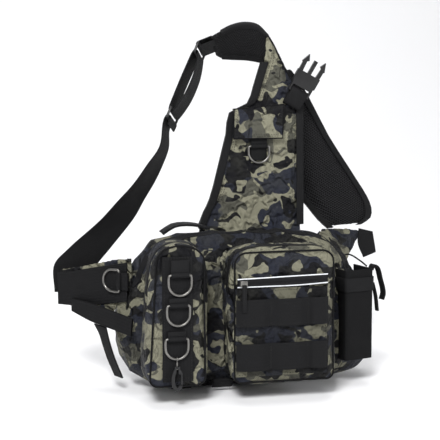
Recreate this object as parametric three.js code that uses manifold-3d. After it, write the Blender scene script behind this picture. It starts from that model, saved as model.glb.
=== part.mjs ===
// Sling bag for fishing tackle: a padded body with two front pouches, a side holster, a wing to the left and
// the right, and a padded yoke that goes over the shoulder and comes back as webbing.
// Millimetres, +X to the bag's right, +Y to the wearer, +Z up. Heights count from the hem of the front pouches.
import * as THREE from "three";
import { mergeVertices } from "three/addons/utils/BufferGeometryUtils.js";
import Module from "manifold-3d";

const wasm = await Module();
wasm.setup();

// Sizes shared by many pieces
const gap = 0.4; // free space between pieces that touch
const cloth = 2.2; // wall of the lined cloth
const web = 1.6; // thickness of webbing
const webWide = 38; // wide webbing
const tabWide = 22; // webbing of the ring tabs
const zipWide = 8; // zip with its tapes, across the seam
const wire = 1.5; // radius of a ring's wire
const ringHalf = 14; // half of a ring's width, to the middle of the wire
const ringDrop = 25; // from a ring's bar to the bottom of its bow
const tabHole = wire + 0.35; // radius inside a tab's fold
const tabOut = tabHole + web; // radius outside a tab's fold

// The body, as a stack of rounded sections
const body = { low: -12, high: 198, left: 174, right: 178, front: -2, deep: 106, sweep: 24, power: 3.2 };
const bodyRows = [
  // up: share of the height; left, right: shares of the half widths; front, back: shares of the depth
  { up: 0, left: 0.66, right: 0.71, front: 0.25, back: 0.75 },
  { up: 0.02, left: 0.79, right: 0.84, front: 0.13, back: 0.87 },
  { up: 0.07, left: 0.885, right: 0.945, front: 0.06, back: 0.94 },
  { up: 0.14, left: 0.94, right: 0.985, front: 0.02, back: 0.98 },
  { up: 0.29, left: 0.985, right: 1, front: 0, back: 1 },
  { up: 0.46, left: 1, right: 0.99, front: 0, back: 1 },
  { up: 0.62, left: 0.955, right: 0.91, front: 0.02, back: 1 },
  { up: 0.73, left: 0.875, right: 0.82, front: 0.04, back: 0.99 },
  { up: 0.82, left: 0.82, right: 0.77, front: 0.08, back: 0.97 },
  { up: 0.89, left: 0.775, right: 0.72, front: 0.13, back: 0.94 },
  { up: 0.95, left: 0.725, right: 0.64, front: 0.23, back: 0.9 },
  { up: 0.985, left: 0.645, right: 0.55, front: 0.36, back: 0.81 },
  { up: 1, left: 0.55, right: 0.45, front: 0.49, back: 0.7 },
];
const bodyZip = { y: 44, above: 118 }; // slot over the top, and how low its ends reach

// The front pouches, as rounded boxes that are open to the body
const pouch = { left: [-149, -140], right: -70, low: 5, high: 188, front: -53, back: 40, foot: 16, crown: 27 };
const pocket = { left: [-43, -43], right: 94, low: 4, high: 177, front: -53, back: 40, foot: 14, crown: 22 };
const pouchZip = { y: -30, above: 120 };
const pocketZip = { y: -32, above: 120 };

// Small helpers
const vec = (p) => new THREE.Vector3(...p);
const radians = THREE.MathUtils.degToRad;

// A closed geometry as a solid that can be joined and cut
function solidOf(geometry) {
  geometry.deleteAttribute("normal");
  geometry.deleteAttribute("uv");
  const merged = mergeVertices(geometry, 1e-4);
  const vertProperties = merged.getAttribute("position").array;
  return new wasm.Manifold(
    new wasm.Mesh({ numProp: 3, vertProperties, triVerts: new Uint32Array(merged.index.array) }),
  );
}

// A closed solid from rings of equal point count; closed joins the last ring to the first
function solidOfRings(rings, closed = false) {
  const count = rings[0].length;
  const points = rings.flat();
  const faces = [];
  const spans = closed ? rings.length : rings.length - 1;
  for (let i = 0; i < spans; i++) {
    const here = i * count;
    const next = ((i + 1) % rings.length) * count;
    for (let j = 0; j < count; j++) {
      const k = (j + 1) % count;
      faces.push([here + j, here + k, next + k], [here + j, next + k, next + j]);
    }
  }
  if (!closed) {
    faces.push(...capFaces(rings[0], 0).map(([a, b, c]) => [a, c, b]));
    faces.push(...capFaces(rings[rings.length - 1], points.length - count));
  }
  let volume = 0;
  for (const [a, b, c] of faces) volume += points[a].dot(points[b].clone().cross(points[c]));
  const turned = volume < 0 ? faces.map(([a, b, c]) => [a, c, b]) : faces;
  const geometry = new THREE.BufferGeometry().setFromPoints(points);
  return solidOf(geometry.setIndex(turned.flat()));
}

// Triangles that fill a flat ring, wound the way the ring runs
function capFaces(ring, first) {
  const normal = new THREE.Vector3();
  ring.forEach((p, i) => normal.add(p.clone().cross(ring[(i + 1) % ring.length])));
  const size = normal.toArray().map(Math.abs);
  const drop = size.indexOf(Math.max(...size));
  const flat = ring.map((p) => new THREE.Vector2(...p.toArray().filter((_, i) => i !== drop)));
  const faces = THREE.ShapeUtils.triangulateShape(flat, []);
  const area = faces.reduce((sum, face) => sum + THREE.ShapeUtils.area(face.map((i) => flat[i])), 0);
  const same = area * THREE.ShapeUtils.area(flat) > 0;
  return faces.map(([a, b, c]) => (same ? [a, b, c] : [a, c, b]).map((i) => i + first));
}

// A strip whose two edges run through the rows' points a and b; section gives its cut as [across, out] points
function band(rows, steps, section, closed = false) {
  const edges = ["a", "b"].map(
    (side) => new THREE.CatmullRomCurve3(rows.map((row) => vec(row[side])), closed),
  );
  const spans = (closed ? rows.length : rows.length - 1) * steps;
  const count = closed ? spans : spans + 1;
  const pairs = Array.from({ length: count }, (_, i) => edges.map((edge) => edge.getPoint(i / spans)));
  const middles = pairs.map(([a, b]) => a.clone().lerp(b, 0.5));
  const at = (i) => (closed ? middles[(i + count) % count] : middles[Math.max(0, Math.min(count - 1, i))]);
  const rings = pairs.map(([a, b], i) => {
    const along = at(i + 1).clone().sub(at(i - 1));
    const across = b.clone().sub(a);
    const width = across.length();
    across.normalize();
    const out = along.cross(across).normalize();
    return section(width).map(([u, v]) => a.clone().addScaledVector(across, u).addScaledVector(out, v));
  });
  return solidOfRings(rings, closed);
}

// Cuts of strips: plain webbing, webbing halved down its middle, webbing off a surface, a padded panel
const flat = (thick) => layer(-thick / 2, thick / 2);
const halved = (thick) => (width) => {
  const side = [0, width / 2, width].map((u) => [u, -thick / 2]);
  return [...side, ...side.map(([u, v]) => [u, -v]).reverse()];
};
const layer = (from, to, inset = 0) => (width) => [
  [inset, from],
  [width - inset, from],
  [width - inset, to],
  [inset, to],
];
const padded = (rim, full, rimWide) => (width) => {
  const step = Math.min(rimWide, width * 0.22);
  const half = [
    [0, -rim],
    [step, -rim],
    [step * 2, -full],
    [width - step * 2, -full],
    [width - step, -rim],
    [width, -rim],
  ];
  return [...half, ...half.map(([u, v]) => [u, -v]).reverse()];
};

// Binding tape folded round edge a, or edge b, of a padded panel
const binding = (rim, reach, edge) => (width) => {
  const near = rim + gap;
  const far = near + web;
  const cut = [
    [-web - gap, -far],
    [reach, -far],
    [reach, -near],
    [-gap, -near],
    [-gap, near],
    [reach, near],
    [reach, far],
    [-web - gap, far],
  ];
  return edge === "a" ? cut : cut.map(([u, v]) => [width - u, v]);
};

// The body's outline at one row, grown outwards
function bodySection(row, grow) {
  const count = 28;
  const left = -body.left * row.left - grow;
  const right = body.right * row.right + grow;
  const front = body.front + body.deep * row.front - grow;
  const back = body.front + body.deep * row.back + grow;
  const round = (value) => Math.sign(value) * Math.abs(value) ** (2 / body.power);
  return Array.from({ length: count }, (_, i) => {
    const turn = (2 * Math.PI * (i + 0.5)) / count;
    const x = (left + right) / 2 + ((right - left) / 2) * round(Math.cos(turn));
    const y = (front + back) / 2 + ((back - front) / 2) * round(Math.sin(turn));
    return new THREE.Vector3(x, y + body.sweep * (x / body.right) ** 2, 0);
  });
}

function bodySolid(grow) {
  const last = bodyRows.length - 1;
  const rings = bodyRows.map((row, i) => {
    const end = i === 0 ? -grow : i === last ? grow : 0;
    const z = body.low + body.high * row.up + end;
    return bodySection(row, grow).map((p) => p.setZ(z));
  });
  return solidOfRings(rings);
}

// A rounded box seen from the front: outline with the four corners rounded, drawn in by inset
function frontOutline(form, inset) {
  const [lowLeft, highLeft] = form.left;
  const rounds = [
    { x: form.right - form.foot, z: form.low + form.foot, r: form.foot, from: -90 },
    { x: form.right - form.crown, z: form.high - form.crown, r: form.crown, from: 0 },
    { x: highLeft + form.crown, z: form.high - form.crown, r: form.crown, from: 90 },
    { x: lowLeft + form.foot, z: form.low + form.foot, r: form.foot, from: 180 },
  ];
  return rounds.flatMap(({ x, z, r, from }) => arc(x, z, r - inset, from, from + 90, 4));
}

function frontBox(form, grow) {
  const bevel = [
    { inset: 9, step: 0 },
    { inset: 3, step: 1.2 },
    { inset: 0, step: 4.5 },
  ];
  const rings = bevel.map(({ inset, step }) =>
    frontOutline(form, inset - grow).map(([x, z]) => new THREE.Vector3(x, form.front - grow + step, z)),
  );
  rings.push(frontOutline(form, -grow).map(([x, z]) => new THREE.Vector3(x, form.back, z)));
  return solidOfRings(rings);
}

// A box between two corners
function block(low, high) {
  const size = high.map((value, i) => value - low[i]);
  return solidOf(new THREE.BoxGeometry(...size).translate(...low.map((value, i) => value + size[i] / 2)));
}

// A round post along Z
function post(radius, low, high) {
  const geometry = new THREE.CylinderGeometry(radius, radius, high - low, 12).rotateX(Math.PI / 2);
  return solidOf(geometry.translate(0, 0, (low + high) / 2));
}

// Points on an arc, angles in degrees
function arc(x, y, radius, from, to, steps) {
  return Array.from({ length: steps + 1 }, (_, i) => {
    const turn = radians(from + ((to - from) * i) / steps);
    return [x + radius * Math.cos(turn), y + radius * Math.sin(turn)];
  });
}
const ring = (radius, steps) => arc(0, 0, radius, 0, 360 - 360 / steps, steps - 1);
const corners = (x0, y0, x1, y1) => [
  [x0, y0],
  [x1, y0],
  [x1, y1],
  [x0, y1],
];

// An outline with holes, made thick along Z from zero
function extruded(outline, thick, holes = []) {
  const [rim, ...rest] = [outline, ...holes].map((path) => path.map(([x, y]) => new THREE.Vector2(x, y)));
  const shape = new THREE.Shape(THREE.ShapeUtils.isClockWise(rim) ? rim.reverse() : rim);
  shape.holes = rest.map((hole) => new THREE.Path(hole));
  return new THREE.ExtrudeGeometry(shape, { depth: thick, bevelEnabled: false });
}

// The same, drawn in X and Z and thick to both sides of Y = 0
function plate(outline, thick, holes) {
  return extruded(outline, thick, holes)
    .translate(0, 0, -thick / 2)
    .rotateX(Math.PI / 2);
}

// The same, drawn in Y and Z and wide to both sides of X = 0
function acrossX(outline, width, holes) {
  const turn = new THREE.Matrix4().makeBasis(vec([0, 1, 0]), vec([0, 0, 1]), vec([1, 0, 0]));
  return extruded(outline, width, holes)
    .translate(0, 0, -width / 2)
    .applyMatrix4(turn);
}

// The place of a piece made in its own axes: its origin, and where its x and z axes point
function placeAt(origin, xAxis = [1, 0, 0], zAxis = [0, 0, 1]) {
  const z = vec(zAxis).normalize();
  const y = z.clone().cross(vec(xAxis)).normalize();
  return new THREE.Matrix4().makeBasis(y.clone().cross(z), y, z).setPosition(vec(origin));
}

// A wire bent through a closed flat path
function wireLoop(path, normal, radius) {
  const sides = 6;
  const count = path.length;
  const rings = path.map((p, i) => {
    const along = path[(i + 1) % count].clone().sub(path[(i + count - 1) % count]).normalize();
    const side = along.cross(normal);
    return Array.from({ length: sides }, (_, k) => {
      const turn = (2 * Math.PI * k) / sides;
      return p
        .clone()
        .addScaledVector(side, radius * Math.cos(turn))
        .addScaledVector(normal, radius * Math.sin(turn));
    });
  });
  return solidOfRings(rings, true);
}

// D-ring: bar along X through its own origin, bow hanging down
function dRing(half, drop) {
  const corner = 2.5;
  const centre = -Math.max(drop - half, corner + 1);
  const bow = arc(0, 0, 1, 0, -180, 10).map(([x, z]) => [half * x, centre + (drop + centre) * z]);
  const path = [[-half + corner, 0], [half - corner, 0], [half, -corner], ...bow, [-half, -corner]];
  return wireLoop(path.map(([x, z]) => new THREE.Vector3(x, 0, z)), vec([0, 1, 0]), wire);
}

// Webbing tab folded round a ring's bar: fold at its own origin, two layers going up behind it, one down
function ringTab(up, down) {
  const inner = tabOut - web;
  const front = inner - web - 0.2;
  const from = down > 0 ? THREE.MathUtils.radToDeg(-Math.acos(inner / tabOut)) : 0;
  const to = THREE.MathUtils.radToDeg(Math.acos(front / tabOut)) - 360;
  const patch = down > 0 ? [[tabOut, -down], [inner, -down]] : [];
  const outline = [[tabOut, up], ...patch, ...arc(0, 0, tabOut, from, to, 14), [front, up]];
  return solidOf(acrossX(outline, tabWide, [ring(tabHole, 14)]));
}

// Slide of two bars and two end posts, flat in its own X-Z plane
function slide(wide, high, bar) {
  const rounded = [
    [1, 1, 0],
    [-1, 1, 90],
    [-1, -1, 180],
    [1, -1, 270],
  ].flatMap(([x, z, from]) => arc((x * wide) / 2, (z * high) / 2, bar, from, from + 90, 2));
  const hole = corners(-wide / 2 + bar, -high / 2 + bar, wide / 2 - bar, high / 2 - bar);
  return solidOf(plate(rounded, bar * 2, [hole]));
}

// Shades
const camo = "#4d4b3f";
const black = "#1b1b1d";
const mesh = "#202022";
const plastic = "#161617";
const metal = "#8b8d90";
const white = "#d9dadc";
const finish = {
  [camo]: { roughness: 0.85, metalness: 0 },
  [black]: { roughness: 0.8, metalness: 0 },
  [mesh]: { roughness: 0.95, metalness: 0 },
  [plastic]: { roughness: 0.4, metalness: 0 },
  [metal]: { roughness: 0.35, metalness: 0.9 },
  [white]: { roughness: 0.4, metalness: 0 },
};

const group = new THREE.Group();
group.name = "sling_bag";
const held = new THREE.Group();
// The shoulder rest, under the top of the strap, is the part's origin
const shoulderRest = [15, 136, 404];
held.position.set(...shoulderRest.map((value) => -value));
group.add(held);

function addPiece(name, solid, color, place = new THREE.Matrix4()) {
  const { vertProperties, triVerts } = solid.getMesh();
  const geometry = new THREE.BufferGeometry();
  geometry.setAttribute("position", new THREE.BufferAttribute(vertProperties, 3));
  geometry.setIndex(new THREE.BufferAttribute(triVerts, 1));
  const piece = new THREE.Mesh(geometry, new THREE.MeshStandardMaterial({ color, ...finish[color] }));
  piece.name = name;
  piece.applyMatrix4(place);
  held.add(piece);
}

// Main body: a hollow shell with a zip over its top
const bodyOut = bodySolid(gap);
const bodyShell = bodySolid(0).subtract(bodySolid(-cloth));
const zipCut = (at, low, wide) => block([-220, at.y - wide / 2, low], [220, at.y + wide / 2, 260]);
addPiece("main_body", bodyShell.subtract(zipCut(bodyZip, bodyZip.above, zipWide)), camo);
addPiece("main_zipper", bodyShell.intersect(zipCut(bodyZip, bodyZip.above + gap, zipWide - 2 * gap)), black);

// Front pouches: shells cut to the body, each with a zip over its top
function addPouch(name, form, zip) {
  const shell = frontBox(form, 0).subtract(frontBox(form, -cloth)).subtract(bodyOut);
  const front = shell.subtract(block([-220, 9, -40], [220, 90, 260]));
  addPiece(name, front.subtract(zipCut(zip, zip.above, zipWide)), camo);
  addPiece(name + "_zipper", front.intersect(zipCut(zip, zip.above + gap, zipWide - 2 * gap)), black);
}
addPouch("left_pouch", pouch, pouchZip);
addPouch("right_pocket", pocket, pocketZip);

// Webbing down the left pouch, with three rings in folded tabs
const pouchWebFace = pouch.front - gap - web;
addPiece(
  "pouch_webbing",
  block([-129, pouchWebFace, 17], [-129 + webWide, pouch.front - gap, 171]),
  black,
);
const pouchRings = { x: -107.5, bars: [149, 112, 71] };
const pouchBarY = pouchWebFace - gap - tabOut;
pouchRings.bars.forEach((z, i) => {
  const x = pouchRings.x - i * 2.2;
  const place = placeAt([x, pouchBarY, z]);
  addPiece(`pouch_ring_tab_${i + 1}`, ringTab(i === 0 ? 18 : 9, 0), black, place);
  addPiece(`pouch_ring_${i + 1}`, dRing(ringHalf, ringDrop), metal, place);
});

// Snap hook on the lowest ring: a swivel eye, the hook and its sprung gate
const hook = { x: pouchRings.x - 4.4, top: 71 - ringDrop, eye: 2.65, eyeWire: 0.8, wide: 15, high: 29, bar: 2.1 };
const hookY = pouchBarY;
const hookTop = hook.top - hook.eye - 6.2; // top face of the hook's body
const eyePath = ring(hook.eye, 10).map(([y, z]) => new THREE.Vector3(0, y, z));
const eyeNeck = post(1, -hook.eye - 10, -hook.eye);
const eyeHead = post(2, -hook.eye - 10.4, -hook.eye - 9.2);
const eye = wireLoop(eyePath, vec([1, 0, 0]), hook.eyeWire).add(eyeNeck).add(eyeHead);
addPiece("hook_eye", eye, metal, placeAt([hook.x, hookY, hook.top]));
const hookTall = hook.high / hook.wide;
const hookOval = plate(ring(hook.wide / 2, 24), hook.bar * 2).scale(1, 1, hookTall);
const hookHole = plate(ring(hook.wide / 2 - 2 * hook.bar, 24), hook.bar * 4).scale(1, 1, hookTall * 1.5);
const hookCollar = block([-3.4, -hook.bar, hook.high / 2 - 3], [3.4, hook.bar, hook.high / 2 + 2]);
const hookOpen = block([1, -5, -7], [12, 5, 6.5]);
const neckHole = post(1.4, hook.high / 2 - 2.4, hook.high / 2 + 9);
const headRoom = post(2.5, hook.high / 2 - 8, hook.high / 2 - 0.6);
const hookCuts = [solidOf(hookHole), hookOpen, neckHole, headRoom];
const hookSolid = hookCuts.reduce((solid, cut) => solid.subtract(cut), solidOf(hookOval).add(hookCollar));
const hookPlace = placeAt([hook.x, hookY, hookTop - hook.high / 2 - 2]);
addPiece("hook_body", hookSolid, plastic, hookPlace);
addPiece("hook_gate", block([4.2, -hook.bar * 0.8, -6.6], [6.6, hook.bar * 0.8, 6.1]), plastic, hookPlace);

// Slash pocket on the right pocket: panel, zip with two reflective edges and pull, two rows of webbing loops
const panel = { left: -38, right: 79, low: 18, high: 128, thick: 2.6 };
const panelBack = pocket.front - gap;
const panelFace = panelBack - panel.thick;
addPiece(
  "slash_pocket",
  block([panel.left, panelFace, panel.low], [panel.right, panelBack, panel.high]),
  camo,
);
const slashRows = [
  { a: [-36, panelFace + 1, 141], b: [-36, panelFace + 1, 129.2] },
  { a: [0, panelFace + 0.6, 142], b: [0, panelFace + 0.6, 129.2] },
  { a: [40, panelFace + 0.6, 143], b: [40, panelFace + 0.6, 129.2] },
  { a: [79, panelFace + 1, 143.6], b: [79, panelFace + 1, 131] },
];
addPiece("slash_zipper", band(slashRows, 2, flat(1.2)), black);
const stripe = (from, to) => (width) => corners(from * width, -1.4 - gap, to * width, -0.6 - gap);
addPiece("reflective_edge_upper", band(slashRows, 2, stripe(-0.02, 0.14)), white);
addPiece("reflective_edge_lower", band(slashRows, 2, stripe(0.82, 0.98)), white);
const stitches = [-38, 6, 54, 79];
const loops = { high: 34, bulge: 3 };
function webbingLoops(name, low) {
  const y = panelFace - gap - web / 2;
  const rows = stitches.flatMap((x, i) => {
    const ends = { a: [x, y, low + loops.high], b: [x, y, low] };
    if (i === stitches.length - 1) return [ends];
    const part = (stitches[i + 1] - x) / 4;
    const out = [1, 3].map((k) => ({
      a: [x + part * k, y - loops.bulge, low + loops.high],
      b: [x + part * k, y - loops.bulge, low],
    }));
    return [ends, ...out];
  });
  addPiece(name, band(rows, 1, flat(web)), black);
}
webbingLoops("webbing_loops_upper", 81);
webbingLoops("webbing_loops_lower", 26);

// Holster on the right flank: an open-topped box with a band, a strap and a hanging pull
const holster = { x: 120, y: -4, turn: 16, wide: 43, deep: 44, low: 18, high: 136, wall: 2 };
const holsterCorner = 4;
const holsterPlace = new THREE.Matrix4()
  .makeRotationZ(radians(holster.turn))
  .setPosition(holster.x, holster.y, 0);
function holsterBox(grow, low, high) {
  const far = [holster.wide - holsterCorner, holster.deep + 30];
  const round = [
    [holsterCorner, holsterCorner, 180],
    [far[0], holsterCorner, 270],
    [far[0], far[1], 0],
    [holsterCorner, far[1], 90],
  ].flatMap(([x, y, from]) => arc(x, y, holsterCorner + grow, from, from + 90, 3));
  return solidOf(extruded(round, high - low).translate(0, 0, low).applyMatrix4(holsterPlace));
}
const behind = new THREE.BoxGeometry(200, 200, 400).translate(90, holster.deep + 100, 100);
const beside = bodyOut.add(frontBox(pocket, gap)).add(solidOf(behind.applyMatrix4(holsterPlace)));
const holsterOut = holsterBox(0, holster.low, holster.high);
const holsterIn = holsterBox(-holster.wall, holster.low + holster.wall, holster.high + 5);
addPiece("holster", holsterOut.subtract(holsterIn).subtract(beside), black);
const elastic = holsterBox(gap + 1.4, 108, 126).subtract(holsterBox(gap, 100, 130));
addPiece("holster_band", elastic.subtract(beside), black);
const besideHolster = (out, along, z) =>
  new THREE.Vector3(holster.wide + out, along, z).applyMatrix4(holsterPlace).toArray();
const holsterRows = (rows, from, to) =>
  rows.map(([out, z]) => ({ a: besideHolster(out, from, z), b: besideHolster(out, to, z) }));
const strapPath = [
  [1.8, 133],
  [5, 139],
  [11.5, 135.5],
  [17, 120],
  [22, 101],
  [19.5, 92],
];
addPiece("holster_strap", band(holsterRows(strapPath, 4, 15), 2, flat(2.6)), black);
const pullPath = [
  [4.2, 116],
  [9, 99],
  [12, 78],
];
addPiece("holster_pull", band(holsterRows(pullPath, 5, 12), 2, padded(1.2, 1.8, 2.5)), black);

// Grab handle over the body's left shoulder
const handle = { left: -108, right: -46, low: 188.5, rise: 6, front: 46 };
const handleRows = Array.from({ length: 5 }, (_, i) => {
  const share = i / 4;
  const x = handle.left + (handle.right - handle.left) * share;
  const z = handle.low - (i === 0 ? 5 : 0) + handle.rise * Math.sin(Math.PI * share);
  return { a: [x, handle.front + 7, z], b: [x, handle.front + 32, z] };
});
addPiece("grab_handle", band(handleRows, 2, flat(3)).subtract(bodyOut), black);

// Webbing keepers under the front hem of the body
[-92, -40].forEach((x, i) => {
  const y = body.sweep * (x / body.right) ** 2;
  const rows = [
    [2.4, 2.2],
    [8.4, -6],
    [13.5, -10.1],
  ].map(([back, z]) => ({ a: [x - 13, y + back, z], b: [x + 13, y + back, z] }));
  addPiece(`base_keeper_${i + 1}`, band(rows, 2, flat(web * 2)).subtract(bodyOut), black);
});

// Left wing: a padded panel, wide webbing over it, ring tab and ring, and its tightening belt
const wingPath = [
  { x: -150, y: 38, low: 58, high: 158, webLow: 101, webHigh: 151 },
  { x: -172, y: 60, low: 64, high: 154, webLow: 96, webHigh: 146 },
  { x: -196, y: 84, low: 72, high: 145, webLow: 91, webHigh: 139 },
  { x: -218, y: 107, low: 82, high: 138, webLow: 87, webHigh: 132 },
  { x: -233, y: 124, low: 88, high: 133, webLow: 86, webHigh: 129 },
];
const wingRows = wingPath.map(({ x, y, low, high }) => ({ a: [x, y, high], b: [x, y, low] }));
const wingWebRows = wingPath.map(({ x, y, webLow, webHigh }) => ({ a: [x, y, webHigh], b: [x, y, webLow] }));
const wingHalf = 3; // half of the wing's thickness
const wingWebFace = wingHalf + gap + web;
const besidePouch = bodyOut.add(frontBox(pouch, gap));
addPiece("left_wing", band(wingRows, 2, padded(1.6, wingHalf, 9)).subtract(besidePouch), camo);
const wingWeb = band(wingWebRows, 2, layer(wingHalf + gap, wingWebFace));
addPiece("wing_band", wingWeb.subtract(besidePouch), black);
const wingOut = [-0.707, -0.707, 0];
const wingToBody = [0.707, -0.707, 0];
const wingRing = { x: -160, y: 49, z: 127 };
const ringLift = wingWebFace + gap + tabOut + 0.8;
const ringAt = [wingRing.x + wingOut[0] * ringLift, wingRing.y + wingOut[1] * ringLift, wingRing.z];
const wingPlace = placeAt(ringAt, [0, 0, -1], wingToBody);
addPiece("wing_ring_tab", ringTab(13, 0), black, wingPlace);
addPiece("wing_ring", dRing(ringHalf, ringDrop), metal, wingPlace);
const beltRows = [
  { a: [-222, 98, 97], b: [-222, 98, 80] },
  { a: [-201, 70, 95], b: [-201, 70, 71] },
  { a: [-176, 41, 89], b: [-177, 41, 65] },
  { a: [-155, 17, 83], b: [-157, 17, 60] },
];
const belt = band(beltRows, 2, layer(0, 3.2));
addPiece("side_belt", belt, black);
const tailRows = [
  { a: [-196.5, 66.4, 68.8], b: [-182.5, 50, 65.6] },
  { a: [-190, 67.5, 56], b: [-181, 48, 56] },
  { a: [-186, 64, 42], b: [-178, 44, 42] },
  { a: [-181, 60, 25], b: [-173, 40, 25] },
  { a: [-172, 56, 2], b: [-164, 38, 2] },
];
addPiece("belt_tail", band(tailRows, 2, flat(2.4)).subtract(bodyOut), black);

// Yoke: padded panel that narrows to the shoulder, with bound edges
const yokeRows = [
  { up: 175, left: -68, right: 88, y: 93 },
  { up: 191, left: -53, right: 88, y: 93 },
  { up: 206, left: -44, right: 88, y: 93.5 },
  { up: 222, left: -36, right: 88, y: 94 },
  { up: 260, left: -25, right: 88, y: 94.5 },
  { up: 308, left: -13, right: 88, y: 95.5 },
  { up: 336, left: -8, right: 88, y: 96 },
  { up: 348, left: 16, right: 87.5, y: 96 },
  { up: 370, left: 24.5, right: 83, y: 96.5 },
  { up: 402, left: 34.5, right: 65, y: 97 },
  { up: 437, left: 38.5, right: 46, y: 98 },
].map(({ up, left, right, y }) => ({ a: [left, y, up], b: [right, y, up] }));
const yokeRim = 2.2;
addPiece("yoke_panel", band(yokeRows, 2, padded(yokeRim, 4.6, 11)).subtract(bodyOut), camo);
const bindReach = 8;
const leftBound = yokeRows.slice(1, 10);
const rightBound = yokeRows.slice(1, 8);
addPiece("yoke_binding_left", band(leftBound, 2, binding(yokeRim, bindReach, "a")).subtract(bodyOut), black);
addPiece("yoke_binding_right", band(rightBound, 2, binding(yokeRim, bindReach, "b")).subtract(bodyOut), black);

// Small pocket with a flap on the yoke, and the ring under it
const yokeFace = 95.5 - 4.6 - gap;
const small = { left: -7, right: 57, low: 304, high: 339, front: 84, wall: 1.6 };
const smallOut = block([small.left, small.front, small.low], [small.right, yokeFace, small.high]);
const smallIn = block(
  [small.left + small.wall, small.front + small.wall, small.low + small.wall],
  [small.right - small.wall, yokeFace - small.wall, small.high + 5],
);
addPiece("yoke_pocket", smallOut.subtract(smallIn), camo);
const flapFace = [
  [-8, 302],
  [59, 302],
  [60.5, 347],
  [-7.5, 341.5],
];
const flapThick = 2;
const flapBack = small.front - gap;
const flapDeep = yokeFace - flapBack + flapThick;
const flapPlate = plate(flapFace, flapDeep).translate(0, yokeFace - flapDeep / 2, 0);
const flapUnder = block([-30, flapBack, 290], [90, 120, small.high + gap]);
addPiece("pocket_flap", solidOf(flapPlate).subtract(flapUnder), camo);
const yokeRing = placeAt([27.5, 89.5 - tabOut, 292]);
addPiece("yoke_ring_tab", ringTab(11, 19), black, yokeRing);
addPiece("yoke_ring", dRing(ringHalf, 22), metal, yokeRing);

// Strap that arches back from the yoke's top to the slide, with bound edges
const slideBar = 2.2;
const slideHalf = 6.5; // from a slide's middle to either of its bars
const upperSlide = vec([-41, 137, 414]);
const lowerSlide = vec([-81.5, 120, 330]);
const slideUp = upperSlide.clone().sub(lowerSlide).normalize();
const square = (v, to) => v.clone().addScaledVector(to, -v.dot(to)).normalize();
const slideAcross = square(vec([0.38, 0.87, -0.32]), slideUp);
const slideOut = slideAcross.clone().cross(slideUp);
const barAt = (middle, side) => middle.clone().addScaledVector(slideUp, side * slideHalf);
const archRows = [
  { a: [44, 105.5, 437], b: [64, 107, 400] },
  { a: [31, 108, 449], b: [43, 121, 402] },
  { a: [15, 112, 452], b: [24, 136, 406] },
  { a: [-1, 116, 449], b: [4, 145, 407] },
  { a: [-17, 117, 441], b: [-8, 151, 408] },
  { a: [-29, 118, 434], b: [-15, 155, 412] },
];
const archRim = 1.8;
const archFull = 3.2;
const archEnd = square(vec([0.9, -0.02, 0.25]), slideAcross);
const foldHole = slideBar + gap;
const foldUp = 20;
const foldOutline = [
  [foldHole + web, foldUp],
  ...arc(0, 0, foldHole + web, 0, -180, 10),
  [-foldHole - web, foldUp],
];
const foldInside = [[foldHole, foldUp - 3], ...arc(0, 0, foldHole, 0, -180, 8), [-foldHole, foldUp - 3]];
const archPlace = placeAt(barAt(upperSlide, 1).toArray(), slideAcross.toArray(), archEnd.toArray());
const archTab = solidOf(acrossX(foldOutline, webWide, [foldInside]).applyMatrix4(archPlace));
addPiece("arch_strap", band(archRows, 2, padded(archRim, archFull, 7)).add(archTab), mesh);
addPiece("arch_binding_upper", band(archRows.slice(0, 5), 2, binding(archRim, 6, "a")), black);
addPiece("arch_binding_lower", band(archRows.slice(1, 5), 2, binding(archRim, 6, "b")), black);
[
  ["upper_slide", upperSlide],
  ["lower_slide", lowerSlide],
].forEach(([name, middle]) => {
  const place = placeAt(middle.toArray(), slideAcross.toArray(), slideUp.toArray());
  addPiece(name, slide(webWide + 9, slideHalf * 2, slideBar * 0.7), plastic, place);
});

// Doubled webbing between the slides, as one closed loop
const foldOut = slideBar + gap + web / 2 + 0.2;
const fromBar = (bar, along, out) => {
  const middle = bar.clone().addScaledVector(slideUp, along).addScaledVector(slideOut, out);
  return {
    a: middle.clone().addScaledVector(slideAcross, -webWide / 2).toArray(),
    b: middle.clone().addScaledVector(slideAcross, webWide / 2).toArray(),
  };
};
const turnRound = (bar, from) =>
  [0, 45, 90, 135, 180].map((turn) => {
    const angle = radians(from + turn);
    return fromBar(bar, foldOut * Math.sin(angle), foldOut * Math.cos(angle));
  });
const loopTop = barAt(upperSlide, -1);
const loopEnd = barAt(lowerSlide, 1);
const loopLong = loopTop.distanceTo(loopEnd);
const loopSide = (shares, out) => shares.map((share) => fromBar(loopTop, -loopLong * share, out));
const loopRows = [
  ...turnRound(loopTop, 0),
  ...loopSide([0.3, 0.7], -4.5),
  ...turnRound(loopEnd, 180),
  ...loopSide([0.7, 0.3], 9),
];
addPiece("webbing_loop", band(loopRows, 2, flat(web), true), black);

// Long webbing from the lower slide to the left wing
const strapBar = barAt(lowerSlide, -1);
const strapRows = [
  fromBar(strapBar, -8, 3.2),
  ...turnRound(strapBar, 0),
  fromBar(strapBar, -9, -3),
  { a: [-101.5, 106, 293], b: [-84, 138, 288] },
  { a: [-118, 110, 268], b: [-92, 142, 264] },
  { a: [-136, 116, 242], b: [-102, 146, 242] },
  { a: [-157, 120, 219], b: [-116, 146, 219] },
  { a: [-178, 124, 196], b: [-129.6, 144, 196] },
  { a: [-221, 130, 158], b: [-164, 130, 158] },
  { a: [-240, 131, 137], b: [-186, 130, 132] },
  { a: [-240, 133, 100], b: [-206, 131, 100] },
];
addPiece("shoulder_webbing", band(strapRows, 6, halved(web)), black);

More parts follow.
